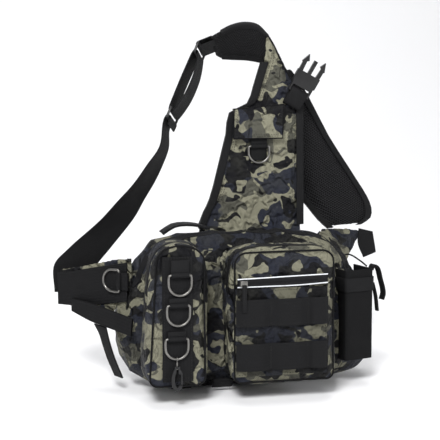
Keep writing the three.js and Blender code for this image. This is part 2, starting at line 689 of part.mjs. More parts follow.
// Back pad from the yoke's fold to the right wing, mesh lined and bound
const padRows = [
  { a: [46, 106.1, 386], b: [74, 105.2, 391] },
  { a: [50, 109.5, 368], b: [91, 109.2, 370] },
  { a: [56, 117, 344], b: [102.5, 115.5, 353] },
  { a: [68, 130, 303], b: [134, 131, 303] },
  { a: [81, 140, 261], b: [165, 143, 261] },
  { a: [93, 146, 237], b: [184, 149, 235] },
  { a: [104, 150, 215.5], b: [197, 153, 216] },
  { a: [117, 152, 200], b: [204, 151, 198] },
  { a: [131, 151, 183], b: [202, 148, 184] },
  { a: [144, 149, 171], b: [189, 145, 175.5] },
];
const padRim = 2.2;
addPiece("back_pad", band(padRows, 2, padded(padRim, 4.6, 12)), mesh);
addPiece("pad_binding_outer", band(padRows, 2, binding(padRim, 7, "b")), black);
addPiece("pad_binding_inner", band(padRows, 2, binding(padRim, 7, "a")), black);

// Right wing: a tapering gusset, with the end of its webbing and a cord to the holster
const rightRows = [
  { a: [110, 92, 179], b: [138, 74, 106] },
  { a: [146, 130, 174], b: [156, 104, 128] },
  { a: [170, 134, 172], b: [177, 128, 152] },
  { a: [189, 136, 169.5], b: [188, 135, 163] },
];
addPiece("right_wing", band(rightRows, 2, padded(1.2, 2.2, 6)).subtract(bodyOut), camo);
const rightWebRows = [
  { a: [186, 129.9, 172], b: [202, 130.4, 167] },
  { a: [184, 129.9, 151], b: [205, 130.4, 151] },
  { a: [191, 130, 131], b: [207, 130, 138] },
];
addPiece("right_web_end", band(rightWebRows, 2, flat(2.6)), black);
const cordRows = [
  { a: [147, 72, 146], b: [149, 72, 144] },
  { a: [154, 46, 142], b: [156, 46, 140] },
  { a: [156, 24, 138], b: [158, 24, 136] },
];
addPiece("holster_cord", band(cordRows, 2, flat(2)).subtract(bodyOut), black);

// Loose half of the side-release buckle on its folded webbing
const buckle = { at: [80, 85.6, 360], up: [0.48, -0.12, 0.87], across: [0.877, 0, -0.48], thick: 6 };
const prong = [
  [10, 29],
  [15.5, 29],
  [15.8, 40],
  [17.2, 41],
  [12.5, 53],
  [8.5, 45],
  [11, 43],
];
const buckleParts = [
  plate(corners(-15, 0, 15, 15), buckle.thick, [corners(-12.6, 4, 12.6, 9.4)]),
  plate(corners(-16.6, 14, 16.6, 30), buckle.thick),
  plate(corners(-2.4, 29, 2.4, 49), buckle.thick - 1),
  plate(prong, buckle.thick - 1),
  plate(prong.map(([x, z]) => [-x, z]), buckle.thick - 1),
].map(solidOf);
const buckleSolid = buckleParts.reduce((solid, more) => solid.add(more));
addPiece("buckle_male", buckleSolid, plastic, placeAt(buckle.at, buckle.across, buckle.up));
const buckleUp = vec(buckle.up).normalize();
const buckleAcross = square(vec(buckle.across), buckleUp);
const buckleOut = buckleUp.clone().cross(buckleAcross);
const buckleLoop = [
  [6.5, 0],
  [5.6, 3.2],
  [2, 4.6],
  [-8, 3.8],
  [-17, 2.6],
  [-19, 0],
  [-17, -2.6],
  [-8, -3.8],
  [2, -4.6],
  [5.6, -3.2],
].map(([along, out]) => {
  const middle = vec(buckle.at).addScaledVector(buckleUp, along).addScaledVector(buckleOut, out);
  return {
    a: middle.clone().addScaledVector(buckleAcross, -12).toArray(),
    b: middle.clone().addScaledVector(buckleAcross, 12).toArray(),
  };
});
addPiece("buckle_webbing", band(buckleLoop, 2, flat(web), true), black);

// Sliders and pulls of the zips over the body and across the slash pocket
addPiece("slash_slider", block([-33, panelFace - 5, 131.5], [-24, panelFace - 0.2, 138.5]), metal);
const slashPull = block([-31.5, panelFace - 7.2, 100], [-25.5, panelFace - 5.4, 134]);
addPiece("slash_pull", slashPull, black);

export default group;
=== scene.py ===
"""A sling bag for fishing tackle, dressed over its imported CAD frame.

Millimetre tables use the bag's own axes (heights count from the hem of the front pouches), and place()
turns them into metres in the frame's axes.
"""
import math

import bpy
import numpy as np
from bpy.props import FloatProperty, FloatVectorProperty, IntProperty, PointerProperty
from mathutils import Matrix, Vector, noise
from mathutils.bvhtree import BVHTree


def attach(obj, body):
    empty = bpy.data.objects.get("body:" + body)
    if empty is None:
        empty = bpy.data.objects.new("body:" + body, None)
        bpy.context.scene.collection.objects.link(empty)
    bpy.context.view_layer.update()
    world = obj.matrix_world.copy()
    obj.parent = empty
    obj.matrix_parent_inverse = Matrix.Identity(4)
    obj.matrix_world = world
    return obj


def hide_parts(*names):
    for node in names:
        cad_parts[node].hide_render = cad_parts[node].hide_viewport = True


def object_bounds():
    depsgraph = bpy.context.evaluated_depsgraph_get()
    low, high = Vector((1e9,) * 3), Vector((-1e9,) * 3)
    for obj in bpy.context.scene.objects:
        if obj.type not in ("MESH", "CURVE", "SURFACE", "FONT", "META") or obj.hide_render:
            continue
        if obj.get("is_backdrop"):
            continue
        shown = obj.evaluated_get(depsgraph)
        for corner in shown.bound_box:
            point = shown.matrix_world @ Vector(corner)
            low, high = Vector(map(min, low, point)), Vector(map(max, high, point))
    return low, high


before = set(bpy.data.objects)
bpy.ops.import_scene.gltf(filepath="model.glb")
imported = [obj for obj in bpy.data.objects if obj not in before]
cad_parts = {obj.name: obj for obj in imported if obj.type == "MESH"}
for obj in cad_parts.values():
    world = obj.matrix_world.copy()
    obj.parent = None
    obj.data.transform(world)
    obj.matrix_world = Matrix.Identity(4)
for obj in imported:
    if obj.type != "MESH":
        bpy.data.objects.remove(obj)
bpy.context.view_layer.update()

bl_info = {
    "name": "Fishing tackle sling bag",
    "version": (1, 0, 0),
    "blender": (4, 5, 0),
    "location": "3D View > Sidebar > Sling bag",
    "description": "Builds the cloth, webbing, zips and fittings of a sling bag over its packed frame",
    "category": "Object",
}

SHOULDER_REST = Vector((15, 136, 404))

# Body: share of the height; shares of the half widths; shares of the depth
BODY = {
    "low": -12,
    "high": 198,
    "left": 174,
    "right": 178,
    "front": -2,
    "deep": 106,
    "sweep": 24,
    "power": 3.2,
}
BODY_ROWS = [
    {"up": 0, "left": 0.66, "right": 0.71, "front": 0.25, "back": 0.75},
    {"up": 0.02, "left": 0.79, "right": 0.84, "front": 0.13, "back": 0.87},
    {"up": 0.07, "left": 0.885, "right": 0.945, "front": 0.06, "back": 0.94},
    {"up": 0.14, "left": 0.94, "right": 0.985, "front": 0.02, "back": 0.98},
    {"up": 0.29, "left": 0.985, "right": 1, "front": 0, "back": 1},
    {"up": 0.46, "left": 1, "right": 0.99, "front": 0, "back": 1},
    {"up": 0.62, "left": 0.955, "right": 0.91, "front": 0.02, "back": 1},
    {"up": 0.73, "left": 0.875, "right": 0.82, "front": 0.04, "back": 0.99},
    {"up": 0.82, "left": 0.82, "right": 0.77, "front": 0.08, "back": 0.97},
    {"up": 0.89, "left": 0.775, "right": 0.72, "front": 0.13, "back": 0.94},
    {"up": 0.95, "left": 0.725, "right": 0.64, "front": 0.23, "back": 0.9},
    {"up": 0.985, "left": 0.645, "right": 0.55, "front": 0.36, "back": 0.81},
    {"up": 1, "left": 0.55, "right": 0.45, "front": 0.49, "back": 0.7},
]
POUCH = {"left": (-149, -140), "right": -70, "low": 5, "high": 188, "front": -53, "foot": 16, "crown": 27}
POCKET = {"left": (-43, -43), "right": 94, "low": 4, "high": 177, "front": -53, "foot": 14, "crown": 22}
OPEN_BACK = 9  # where a pouch's side ends that passes the body


class BagSizes(bpy.types.PropertyGroup):
    """Sizes of the bag's cloth, straps and fittings."""

    puff: FloatProperty(
        name="Puff", description="How far padded cloth swells", default=0.0032, unit="LENGTH"
    )
    fold: FloatProperty(
        name="Fold", description="Height of the folds in cloth", default=0.0014, unit="LENGTH"
    )
    web: FloatProperty(
        name="Webbing", description="Thickness of the webbing", default=0.0016, unit="LENGTH"
    )
    wire: FloatProperty(
        name="Ring wire", description="Radius of a ring's wire", default=0.0015, unit="LENGTH"
    )
    tooth: FloatProperty(
        name="Zip tooth", description="Pitch of the zips' teeth", default=0.0016, unit="LENGTH"
    )
    stitch: FloatProperty(
        name="Stitch", description="Pitch of the stitches", default=0.0034, unit="LENGTH"
    )
    thread: FloatProperty(
        name="Thread", description="Radius of the sewing thread", default=0.0003, unit="LENGTH"
    )
    piping: FloatProperty(
        name="Piping", description="Radius of the piping", default=0.0013, unit="LENGTH"
    )
    frames: IntProperty(name="Cloth frames", description="Steps of the cloth simulation", default=16, min=1)


def colour(name, words, value):
    """A colour property."""
    return FloatVectorProperty(
        name=name, description=words, default=value, size=3, subtype="COLOR", min=0, max=1
    )


class BagColours(bpy.types.PropertyGroup):
    """Colours of the bag."""

    khaki: colour("Khaki", "Palest shade of the camouflage", (0.235, 0.228, 0.165))
    olive: colour("Olive", "Middle shade of the camouflage", (0.085, 0.084, 0.067))
    slate: colour("Slate", "Blue-grey shade of the camouflage", (0.019, 0.0215, 0.033))
    charcoal: colour("Charcoal", "Darkest shade of the camouflage", (0.0055, 0.0055, 0.0075))
    webbing: colour("Webbing", "Straps, bindings and keepers", (0.0045, 0.0045, 0.005))
    mesh: colour("Mesh", "Spacer mesh of the pad and the strap", (0.0055, 0.0055, 0.006))
    tape: colour("Zip tape", "Tapes and teeth of the zips", (0.006, 0.006, 0.0068))
    plastic: colour("Plastic", "Slides, buckle and hook", (0.006, 0.006, 0.0065))
    metal: colour("Metal", "Rings and slider", (0.17, 0.165, 0.155))
    reflective: colour("Reflective edge", "Piping along the slash zip", (0.72, 0.74, 0.77))
    thread: colour("Thread", "Sewing thread", (0.02, 0.02, 0.02))
    floor: colour("Floor", "Floor and backdrop", (0.86, 0.86, 0.87))


def sizes():
    """The bag's sizes."""
    return bpy.context.scene.bag_sizes


def colours():
    """The bag's colours."""
    return bpy.context.scene.bag_colours


# Points and lines


def place(point):
    """A point of the bag in millimetres as metres in the frame."""
    return (Vector(point) - SHOULDER_REST) / 1000


def arc(x, y, radius, start, end, steps):
    """Points on an arc, angles in degrees."""
    turns = [math.radians(start + (end - start) * i / steps) for i in range(steps + 1)]
    return [(x + radius * math.cos(t), y + radius * math.sin(t)) for t in turns]


def run_through(points, steps, closed=False):
    """Points of a smooth line through the given ones."""
    points = [Vector(p) for p in points]
    count = len(points)
    line = []
    for i in range(count if closed else count - 1):
        p1, p2 = points[i], points[(i + 1) % count]
        p0 = points[i - 1] if closed or i else p1 * 2 - p2
        p3 = points[(i + 2) % count] if closed or i + 2 < count else p2 * 2 - p1
        d0, d1, d2 = (max((b - a).length, 1e-6) ** 0.5 for a, b in ((p0, p1), (p1, p2), (p2, p3)))
        t1 = ((p1 - p0) / d0 - (p2 - p0) / (d0 + d1) + (p2 - p1) / d1) * d1
        t2 = ((p2 - p1) / d1 - (p3 - p1) / (d1 + d2) + (p3 - p2) / d2) * d1
        for k in range(steps):
            t = k / steps
            line.append(
                p1 * (2 * t**3 - 3 * t**2 + 1)
                + t1 * (t**3 - 2 * t**2 + t)
                + p2 * (3 * t**2 - 2 * t**3)
                + t2 * (t**3 - t**2)
            )
    return line if closed else line + [points[-1]]


def square(vector, to):
    """The vector turned square to another one."""
    vector, to = Vector(vector), Vector(to)
    return (vector - to * vector.dot(to)).normalized()


# Meshes


def deselect():
    """Nothing stays selected."""
    bpy.ops.object.select_all(action="DESELECT")


def pick(piece):
    """Only this piece is selected and active."""
    deselect()
    piece.select_set(True)
    bpy.context.view_layer.objects.active = piece


def apply_modifiers(piece):
    """Applies all of the piece's modifiers."""
    pick(piece)
    for modifier in list(piece.modifiers):
        bpy.ops.object.modifier_apply(modifier=modifier.name)


def smooth(piece, angle=40):
    """Smooth faces with sharp edges kept."""
    pick(piece)
    bpy.ops.object.shade_smooth_by_angle(angle=math.radians(angle))


def tidy(piece, merge=1e-6):
    """Merges doubled points and turns the faces outwards."""
    pick(piece)
    bpy.ops.object.mode_set(mode="EDIT")
    bpy.ops.mesh.select_all(action="SELECT")
    bpy.ops.mesh.remove_doubles(threshold=merge)
    bpy.ops.mesh.normals_make_consistent(inside=False)
    bpy.ops.mesh.select_all(action="DESELECT")
    bpy.ops.object.mode_set(mode="OBJECT")


def from_faces(name, points, faces, coords=None):
    """A piece from points and faces; coords holds one (across, along) pair for each corner."""
    mesh = bpy.data.meshes.new(name)
    mesh.from_pydata([tuple(p) for p in points], [], faces)
    if coords:
        layer = mesh.uv_layers.new(name="weave")
        layer.data.foreach_set("uv", [value for pair in coords for value in pair])
    piece = bpy.data.objects.new(name, mesh)
    bpy.context.scene.collection.objects.link(piece)
    return piece


def from_rings(name, rings, closed=False, marks=None):
    """A closed piece from rings of equal point count; marks gives the across places."""
    count, total = len(rings[0]), len(rings)
    points = [p for ring in rings for p in ring]
    centres = [sum(ring, Vector()) / count for ring in rings]
    along = [0.0]
    for i in range(1, total + 1):
        along.append(along[-1] + (centres[i % total] - centres[i - 1]).length)
    faces, coords = [], []
    for i in range(total if closed else total - 1):
        here, there = i * count, ((i + 1) % total) * count
        for j in range(count):
            k = (j + 1) % count
            faces.append((here + j, here + k, there + k, there + j))
            if marks:
                here_marks, there_marks = marks[i], marks[(i + 1) % total]
                coords += [
                    (here_marks[j], along[i]),
                    (here_marks[k], along[i]),
                    (there_marks[k], along[i + 1]),
                    (there_marks[j], along[i + 1]),
                ]
    if not closed:
        for start, order in ((0, range(count - 1, -1, -1)), ((total - 1) * count, range(count))):
            faces.append(tuple(start + j for j in order))
            if marks:
                row = 0 if start == 0 else total - 1
                coords += [(marks[row][j], along[row]) for j in order]
    piece = from_faces(name, points, faces, coords)
    tidy(piece)
    return piece


def strip(name, rows, steps, section, closed=False, warp=None):
    """A strap, tape or panel whose edges run through the rows' two points in millimetres."""
    edges = [run_through([row[side] for row in rows], steps, closed) for side in (0, 1)]
    pairs = list(zip(*edges))
    total = len(pairs)
    middles = [(a + b) / 2 for a, b in pairs]
    rings, marks = [], []
    for i, (a, b) in enumerate(pairs):
        after = middles[(i + 1) % total] if closed else middles[min(i + 1, total - 1)]
        before = middles[i - 1] if closed else middles[max(i - 1, 0)]
        across = b - a
        width = across.length
        across.normalize()
        out = (after - before).cross(across).normalized()
        cut = section(width, i)
        ring = [a + across * u + out * v for u, v in cut]
        if warp:
            ring = [warp(p, out) for p in ring]
        rings.append([place(p) for p in ring])
        marks.append([u / 1000 for u, _ in cut])
    piece = from_rings(name, rings, closed, marks)
    smooth(piece)
    return piece


def woven(thick, off=0.0, parts=6, inset=0.0):
    """Cut of a strap with rounded edges."""

    def cut(width, _):
        low, high = off - thick / 2, off + thick / 2
        corner = thick * 0.3
        run = [inset + corner + (width - 2 * inset - 2 * corner) * i / parts for i in range(parts + 1)]
        near, far = inset, width - inset
        return (
            [(u, low) for u in run]
            + [(far, low + corner), (far, high - corner)]
            + [(u, high) for u in reversed(run)]
            + [(near, high - corner), (near, low + corner)]
        )

    return cut


def bound(rim, reach, edge, gap=0.4, web=1.6):
    """Cut of a binding tape folded round one edge of a panel."""
    near, far = rim + gap, rim + gap + web

    def cut(width, _):
        half = [
            (reach, -near),
            (reach, -far + 0.4),
            (reach - 0.4, -far),
            (0.5, -far),
            (-0.9, -far + 0.5),
            (-web - gap, -far + 1.9),
        ]
        ring = (
            half
            + [(u, -v) for u, v in reversed(half)]
            + [(-gap + 0.3, near), (-gap, near - 0.4), (-gap, -near + 0.4), (-gap + 0.3, -near)]
        )
        return ring if edge == "a" else [(width - u, v) for u, v in ring]

    return cut


def cord_round(name, line, radius, sides=8, closed=False):
    """A round bead along a line in millimetres."""
    total = len(line)
    rings = []
    normal = None
    for i, p in enumerate(line):
        after = line[(i + 1) % total] if closed else line[min(i + 1, total - 1)]
        before = line[i - 1] if closed else line[max(i - 1, 0)]
        along = (after - before).normalized()
        if normal is None:
            normal = along.orthogonal().normalized()
        normal = square(normal, along)
        side = along.cross(normal)
        turns = [2 * math.pi * k / sides for k in range(sides)]
        rings.append([place(p + (normal * math.cos(t) + side * math.sin(t)) * radius) for t in turns])
    marks = [[2 * math.pi * radius * k / sides / 1000 for k in range(sides)]] * total
    piece = from_rings(name, rings, closed, marks)
    smooth(piece, 60)
    return piece


def copy_of(node, name=None):
    """A merged copy of a CAD node, free of it."""
    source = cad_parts[node]
    mesh = source.data.copy()
    mesh.materials.clear()
    piece = bpy.data.objects.new(name or node + "_shape", mesh)
    bpy.context.scene.collection.objects.link(piece)
    pick(piece)
    bpy.ops.object.mode_set(mode="EDIT")
    bpy.ops.mesh.select_all(action="SELECT")
    bpy.ops.mesh.remove_doubles(threshold=1e-6)
    bpy.ops.mesh.dissolve_limited(angle_limit=math.radians(1.5))
    bpy.ops.mesh.select_all(action="DESELECT")
    bpy.ops.object.mode_set(mode="OBJECT")
    return piece


def finished(node, bevel=0.4, segments=2, angle=40):
    """A merged copy of a CAD node with its edges rounded."""
    piece = copy_of(node)
    modifier = piece.modifiers.new("round", "BEVEL")
    modifier.width = bevel / 1000
    modifier.segments = segments
    modifier.limit_method = "ANGLE"
    modifier.angle_limit = math.radians(30)
    modifier.harden_normals = False
    apply_modifiers(piece)
    smooth(piece, angle)
    return piece


def remeshed(piece, voxel):
    """An even mesh over the piece."""
    modifier = piece.modifiers.new("even", "REMESH")
    modifier.mode = "VOXEL"
    modifier.voxel_size = voxel / 1000
    apply_modifiers(piece)


def coordinates(mesh):
    """The mesh's points as an array."""
    values = np.empty(len(mesh.vertices) * 3, np.float32)
    mesh.vertices.foreach_get("co", values)
    return values.reshape(-1, 3).astype(float)


def set_coordinates(mesh, values):
    """Moves the mesh's points."""
    mesh.vertices.foreach_set("co", values.astype(np.float32).ravel())
    mesh.update()


def normals(mesh):
    """The mesh's point normals as an array."""
    values = np.empty(len(mesh.vertices) * 3, np.float32)
    mesh.vertex_normals.foreach_get("vector", values)
    return values.reshape(-1, 3).astype(float)


def swell(piece, cap, shrink=0.0):
    """Padding pushes the cloth out: a cloth simulation with pressure, its travel held by cap, in metres."""
    mesh = piece.data
    if shrink:
        set_coordinates(mesh, coordinates(mesh) - normals(mesh) * shrink)
    before, ways = coordinates(mesh), normals(mesh)
    scene = bpy.context.scene
    cloth = piece.modifiers.new("padding", "CLOTH")
    cloth.settings.use_pressure = True
    cloth.settings.uniform_pressure_force = 4
    cloth.settings.effector_weights.gravity = 0
    cloth.settings.quality = 4
    cloth.point_cache.frame_start = 1
    cloth.point_cache.frame_end = sizes().frames
    for step in range(1, sizes().frames + 1):
        scene.frame_set(step)
    shown = piece.evaluated_get(bpy.context.evaluated_depsgraph_get()).to_mesh()
    travel = coordinates(shown) - before
    travel *= max(shrink, 0.0002) / max((travel * ways).sum(axis=1).mean(), 1e-5)
    length = np.maximum(np.linalg.norm(travel, axis=1, keepdims=True), 1e-9)
    piece.modifiers.remove(cloth)
    scene.frame_set(1)
    set_coordinates(mesh, before + travel / length * cap * 1.5 * np.tanh(length / cap / 1.5))


def subdivided(piece, levels=1):
    """One smooth subdivision."""
    modifier = piece.modifiers.new("finer", "SUBSURF")
    modifier.levels = levels
    modifier.render_levels = levels
    apply_modifiers(piece)


def folded(piece, height, spread=(1, 1, 1), size=0.03, seed=0.0, sharp=0.5):
    """Soft dents and sharper creases in the cloth."""
    mesh = piece.data
    points, ways = coordinates(mesh), normals(mesh)
    stretch = np.array(spread) / size
    moved = np.empty(len(points))
    for i, p in enumerate(points * stretch + seed):
        q = Vector(p)
        soft = noise.noise(q)
        crease = 1 - 2 * abs(noise.noise(q * 0.8 + Vector((9.1, 3.3, 5.7)))) ** 0.7
        moved[i] = soft * (1 - sharp) + crease * sharp - 0.4 * sharp
    set_coordinates(mesh, points + ways * (moved * height)[:, None])


def surface(piece):
    """A search tree over the piece's surface, in metres."""
    mesh = piece.data
    corners = [v.co.copy() for v in mesh.vertices]
    return BVHTree.FromPolygons(corners, [tuple(p.vertices) for p in mesh.polygons])


def dressed(piece, material, replaces=(), body="bag", name=None):
    """Gives the piece its material and the body that it rides on."""
    if name:
        piece.name = name
        piece.data.name = name
    piece.data.materials.clear()
    piece.data.materials.append(material)
    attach(piece, body)
    if replaces:
        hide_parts(*([replaces] if isinstance(replaces, str) else replaces))
    return piece


# Materials


class Nodes:
    """A node tree with short calls for the nodes used here."""

    def __init__(self, tree):
        self.tree = tree

    def add(self, kind, inputs=(), **settings):
        """A node with its settings and its linked or set inputs."""
        node = self.tree.nodes.new(kind)
        for name, value in settings.items():
            setattr(node, name, value)
        for key, value in dict(inputs).items():
            if isinstance(value, bpy.types.NodeSocket):
                self.tree.links.new(value, node.inputs[key])
            else:
                node.inputs[key].default_value = value
        return node

    def math(self, operation, a, b=0.0, c=0.0):
        """A math node's output."""
        node = self.add("ShaderNodeMath", {0: a, 1: b, 2: c}, operation=operation)
        return node.outputs[0]

    def vector(self, operation, a, b=(0, 0, 0)):
        """A vector math node's output; DOT_PRODUCT and LENGTH give their value."""
        node = self.add("ShaderNodeVectorMath", {0: a, 1: b}, operation=operation)
        return node.outputs["Value" if operation in ("DOT_PRODUCT", "LENGTH") else "Vector"]

    def scaled(self, vector, by):
        """A vector times a number."""
        node = self.add("ShaderNodeVectorMath", {0: vector, "Scale": by}, operation="SCALE")
        return node.outputs["Vector"]

    def step(self, value, low, high, out_low=0.0, out_high=1.0):
        """A smooth step of a value between two limits."""
        node = self.add(
            "ShaderNodeMapRange",
            {"Value": value, "From Min": low, "From Max": high, "To Min": out_low, "To Max": out_high},
            interpolation_type="SMOOTHSTEP",
        )
        return node.outputs["Result"]

    def blend(self, share, a, b, mode="MIX"):
        """Two colours mixed."""
        node = self.add("ShaderNodeMix", data_type="RGBA", blend_type=mode, clamp_factor=True)
        for socket, value in ((node.inputs["Factor"], share), (node.inputs[6], a), (node.inputs[7], b)):
            if isinstance(value, bpy.types.NodeSocket):
                self.tree.links.new(value, socket)
            else:
                socket.default_value = value
        return node.outputs[2]

    def noise(self, vector, scale, detail=2.0, roughness=0.5):
        """A noise node's value."""
        node = self.add(
            "ShaderNodeTexNoise", {"Vector": vector, "Scale": scale, "Detail": detail, "Roughness": roughness}
        )
        return node.outputs[0]

    def noise_colour(self, vector, scale):
        """A noise node's colour, as a vector that bends coordinates."""
        inputs = {"Vector": vector, "Scale": scale, "Detail": 1.5}
        return self.add("ShaderNodeTexNoise", inputs).outputs["Color"]


def rgba(value):
    """A colour with full alpha."""
    return (value[0], value[1], value[2], 1)


def shader_group(name, inputs, outputs, fill):
    """A node group made once; fill gets the nodes and the input sockets and returns the outputs by name."""
    found = bpy.data.node_groups.get(name)
    if found:
        return found
    tree = bpy.data.node_groups.new(name, "ShaderNodeTree")
    for label, kind, default in inputs:
        socket = tree.interface.new_socket(name=label, in_out="INPUT", socket_type=kind)
        if default is not None:
            socket.default_value = default
    for label, kind in outputs:
        tree.interface.new_socket(name=label, in_out="OUTPUT", socket_type=kind)
    nodes = Nodes(tree)
    entry = tree.nodes.new("NodeGroupInput")
    leave = tree.nodes.new("NodeGroupOutput")
    for label, socket in fill(nodes, entry.outputs).items():
        tree.links.new(socket, leave.inputs[label])
    return tree


def weave_group():
    """Plain weave: threads that cross over and under, in the first two coordinates; its Shade output is
    painted light and shade, lighter on the threads' tops and darker in the hollows between them.
    """

    def fill(n, source):
        parts = n.add("ShaderNodeSeparateXYZ", {0: n.scaled(source["Vector"], source["Threads"])}).outputs
        across, along = parts[0], parts[1]
        warp = n.math("ABSOLUTE", n.math("SINE", n.math("MULTIPLY", across, math.pi)))
        weft = n.math("ABSOLUTE", n.math("SINE", n.math("MULTIPLY", along, math.pi)))
        cell = n.math("ADD", n.math("FLOOR", across), n.math("FLOOR", along))
        over = n.math("FLOORED_MODULO", cell, 2.0)
        warp_up = n.math("MULTIPLY", warp, n.math("MULTIPLY_ADD", weft, 0.5, 0.5))
        weft_up = n.math("MULTIPLY", weft, n.math("MULTIPLY_ADD", warp, 0.5, 0.5))
        height = n.add("ShaderNodeMix", {0: over, 2: warp_up, 3: weft_up}, data_type="FLOAT").outputs[0]
        uneven = n.noise(source["Vector"], 900.0, 1.0)
        return {
            "Height": n.math("MULTIPLY", height, n.math("MULTIPLY_ADD", uneven, 0.5, 0.75)),
            # Shade: painted highlight on raised threads, painted shade in the hollows
            "Shade": n.step(height, 0.0, 0.7, 0.55, 1.1),
        }

    return shader_group(
        "Plain weave",
        [("Vector", "NodeSocketVector", None), ("Threads", "NodeSocketFloat", 1500.0)],
        [("Height", "NodeSocketFloat"), ("Shade", "NodeSocketFloat")],
        fill,
    )


def webbing_group():
    """Woven tape: slanted ribs that change side in narrow rows, with a plain edge; its Shade output is
    painted light and shade, lighter on the ribs and darker in the valleys.
    """

    def fill(n, source):
        parts = n.add("ShaderNodeSeparateXYZ", {0: source["Vector"]}).outputs
        rows = n.math("PINGPONG", parts[0], source["Row"])
        slant = n.math("ADD", parts[1], n.math("MULTIPLY", rows, 0.9))
        turns = n.math("MULTIPLY", source["Ribs"], math.pi)
        rib = n.math("ABSOLUTE", n.math("SINE", n.math("MULTIPLY", slant, turns)))
        valley = n.step(n.math("DIVIDE", rows, source["Row"]), 0.0, 0.18)
        ribs = n.math("MULTIPLY_ADD", rib, 0.6, 0.4)
        height = n.math("MULTIPLY", ribs, n.math("MULTIPLY_ADD", valley, 0.45, 0.55))
        fuzz = n.noise(source["Vector"], 1400.0, 2.0, 0.7)
        return {
            "Height": n.math("MULTIPLY_ADD", fuzz, 0.25, height),
            # Shade: painted highlight on the ribs, painted shade in the valleys
            "Shade": n.step(height, 0.1, 0.9, 0.55, 1.25),
        }

    return shader_group(
        "Woven tape",
        [
            ("Vector", "NodeSocketVector", None),
            ("Row", "NodeSocketFloat", 0.0021),
            ("Ribs", "NodeSocketFloat", 820.0),
        ],
        [("Height", "NodeSocketFloat"), ("Shade", "NodeSocketFloat")],
        fill,
    )


def camouflage_group():
    """Camouflage: three layers of rounded blots over the palest shade."""

    def fill(n, source):
        at = n.scaled(source["Vector"], source["Scale"])
        bend = n.add("ShaderNodeTexNoise", {"Vector": at, "Scale": 1.7, "Detail": 1.5}).outputs["Color"]
        pulled = n.vector("ADD", at, n.scaled(n.vector("SUBTRACT", bend, (0.5, 0.5, 0.5)), 0.9))

        def blots(shift, scale, low, detail):
            moved = n.vector("MULTIPLY", n.vector("ADD", pulled, shift), (1.0, 1.0, 1.25))
            return n.step(n.noise(moved, scale, detail, 0.42), low, low + 0.012)

        colour = n.blend(blots((3.1, 8.2, 1.7), 1.2, 0.545, 0.9), source["Khaki"], source["Olive"])
        colour = n.blend(blots((7.7, 2.4, 5.1), 0.8, 0.5, 1.1), colour, source["Slate"])
        colour = n.blend(blots((1.9, 6.3, 9.4), 1.0, 0.548, 1.2), colour, source["Charcoal"])
        colour = n.blend(blots((5.2, 1.1, 4.6), 2.0, 0.66, 0.6), colour, source["Khaki"])
        colour = n.blend(blots((8.4, 3.7, 2.2), 1.9, 0.65, 0.7), colour, source["Charcoal"])
        fade = n.noise(source["Vector"], 38.0, 3.0, 0.6)
        return {"Color": n.blend(n.step(fade, 0.35, 0.75, 0.0, 0.22), colour, source["Olive"]), "Fade": fade}

    return shader_group(
        "Camouflage",
        [
            ("Vector", "NodeSocketVector", None),
            ("Scale", "NodeSocketFloat", 24.0),
            ("Khaki", "NodeSocketColor", (0.3, 0.3, 0.2, 1)),
            ("Olive", "NodeSocketColor", (0.1, 0.1, 0.1, 1)),
            ("Slate", "NodeSocketColor", (0.03, 0.03, 0.05, 1)),
            ("Charcoal", "NodeSocketColor", (0.01, 0.01, 0.01, 1)),
        ],
        [("Color", "NodeSocketColor"), ("Fade", "NodeSocketFloat")],
        fill,
    )


def wear_group():
    """Rubbed patches and dust: a mask for wear, and a roughness."""

    def fill(n, source):
        patch = n.noise(source["Vector"], source["Scale"], 4.0, 0.65)
        speck = n.noise(source["Vector"], n.math("MULTIPLY", source["Scale"], 14.0), 2.0, 0.6)
        mask = n.math("MULTIPLY", n.step(patch, 0.5, 0.72), n.step(speck, 0.42, 0.62))
        rough = n.math("MULTIPLY_ADD", patch, source["Spread"], source["Roughness"])
        return {"Wear": mask, "Roughness": rough}

    return shader_group(
        "Wear",
        [
            ("Vector", "NodeSocketVector", None),
            ("Scale", "NodeSocketFloat", 30.0),
            ("Roughness", "NodeSocketFloat", 0.5),
            ("Spread", "NodeSocketFloat", 0.3),
        ],
        [("Wear", "NodeSocketFloat"), ("Roughness", "NodeSocketFloat")],
        fill,
    )


def mesh_group():
    """Spacer mesh: six-sided rows of small holes between knitted ribs."""

    def fill(n, source):
        at = n.scaled(source["Vector"], source["Holes"])
        waves = [
            n.math("COSINE", n.math("MULTIPLY", n.vector("DOT_PRODUCT", at, way), 2 * math.pi))
            for way in ((1.0, 0.0, 0.0), (-0.5, 0.866, 0.0), (-0.5, -0.866, 0.0))
        ]
        total = n.math("ADD", n.math("ADD", waves[0], waves[1]), waves[2])
        return {"Hole": n.step(total, 0.1, 1.3), "Height": n.step(total, -1.5, 1.6, 1.0, 0.0)}

    return shader_group(
        "Spacer mesh",
        [("Vector", "NodeSocketVector", None), ("Holes", "NodeSocketFloat", 290.0)],
        [("Hole", "NodeSocketFloat"), ("Height", "NodeSocketFloat")],
        fill,
    )


def started(name, **values):
    """A new material, its nodes and its shader with constant values set."""
    material = bpy.data.materials.new(name)
    material.use_nodes = True
    nodes = Nodes(material.node_tree)
    shader = material.node_tree.nodes["Principled BSDF"]
    for label, value in values.items():
        shader.inputs[label.replace("_", " ")].default_value = value
    return material, nodes, shader


def wired(nodes, shader, height=None, distance=0.0003, strength=0.6, **links):
    """Links colours and values to the shader, and a height through a Bump node."""
    for label, socket in links.items():
        nodes.tree.links.new(socket, shader.inputs[label.replace("_", " ")])
    if height is not None:
        bump = nodes.add("ShaderNodeBump", {"Strength": strength, "Distance": distance, "Height": height})
        nodes.tree.links.new(bump.outputs[0], shader.inputs["Normal"])


def group_node(nodes, group, **inputs):
    """A group placed in a material with its own values; returns its outputs."""
    node = nodes.add("ShaderNodeGroup", node_tree=group)
    for label, value in inputs.items():
        if isinstance(value, bpy.types.NodeSocket):
            nodes.tree.links.new(value, node.inputs[label])
        else:
            node.inputs[label].default_value = value
    return node.outputs


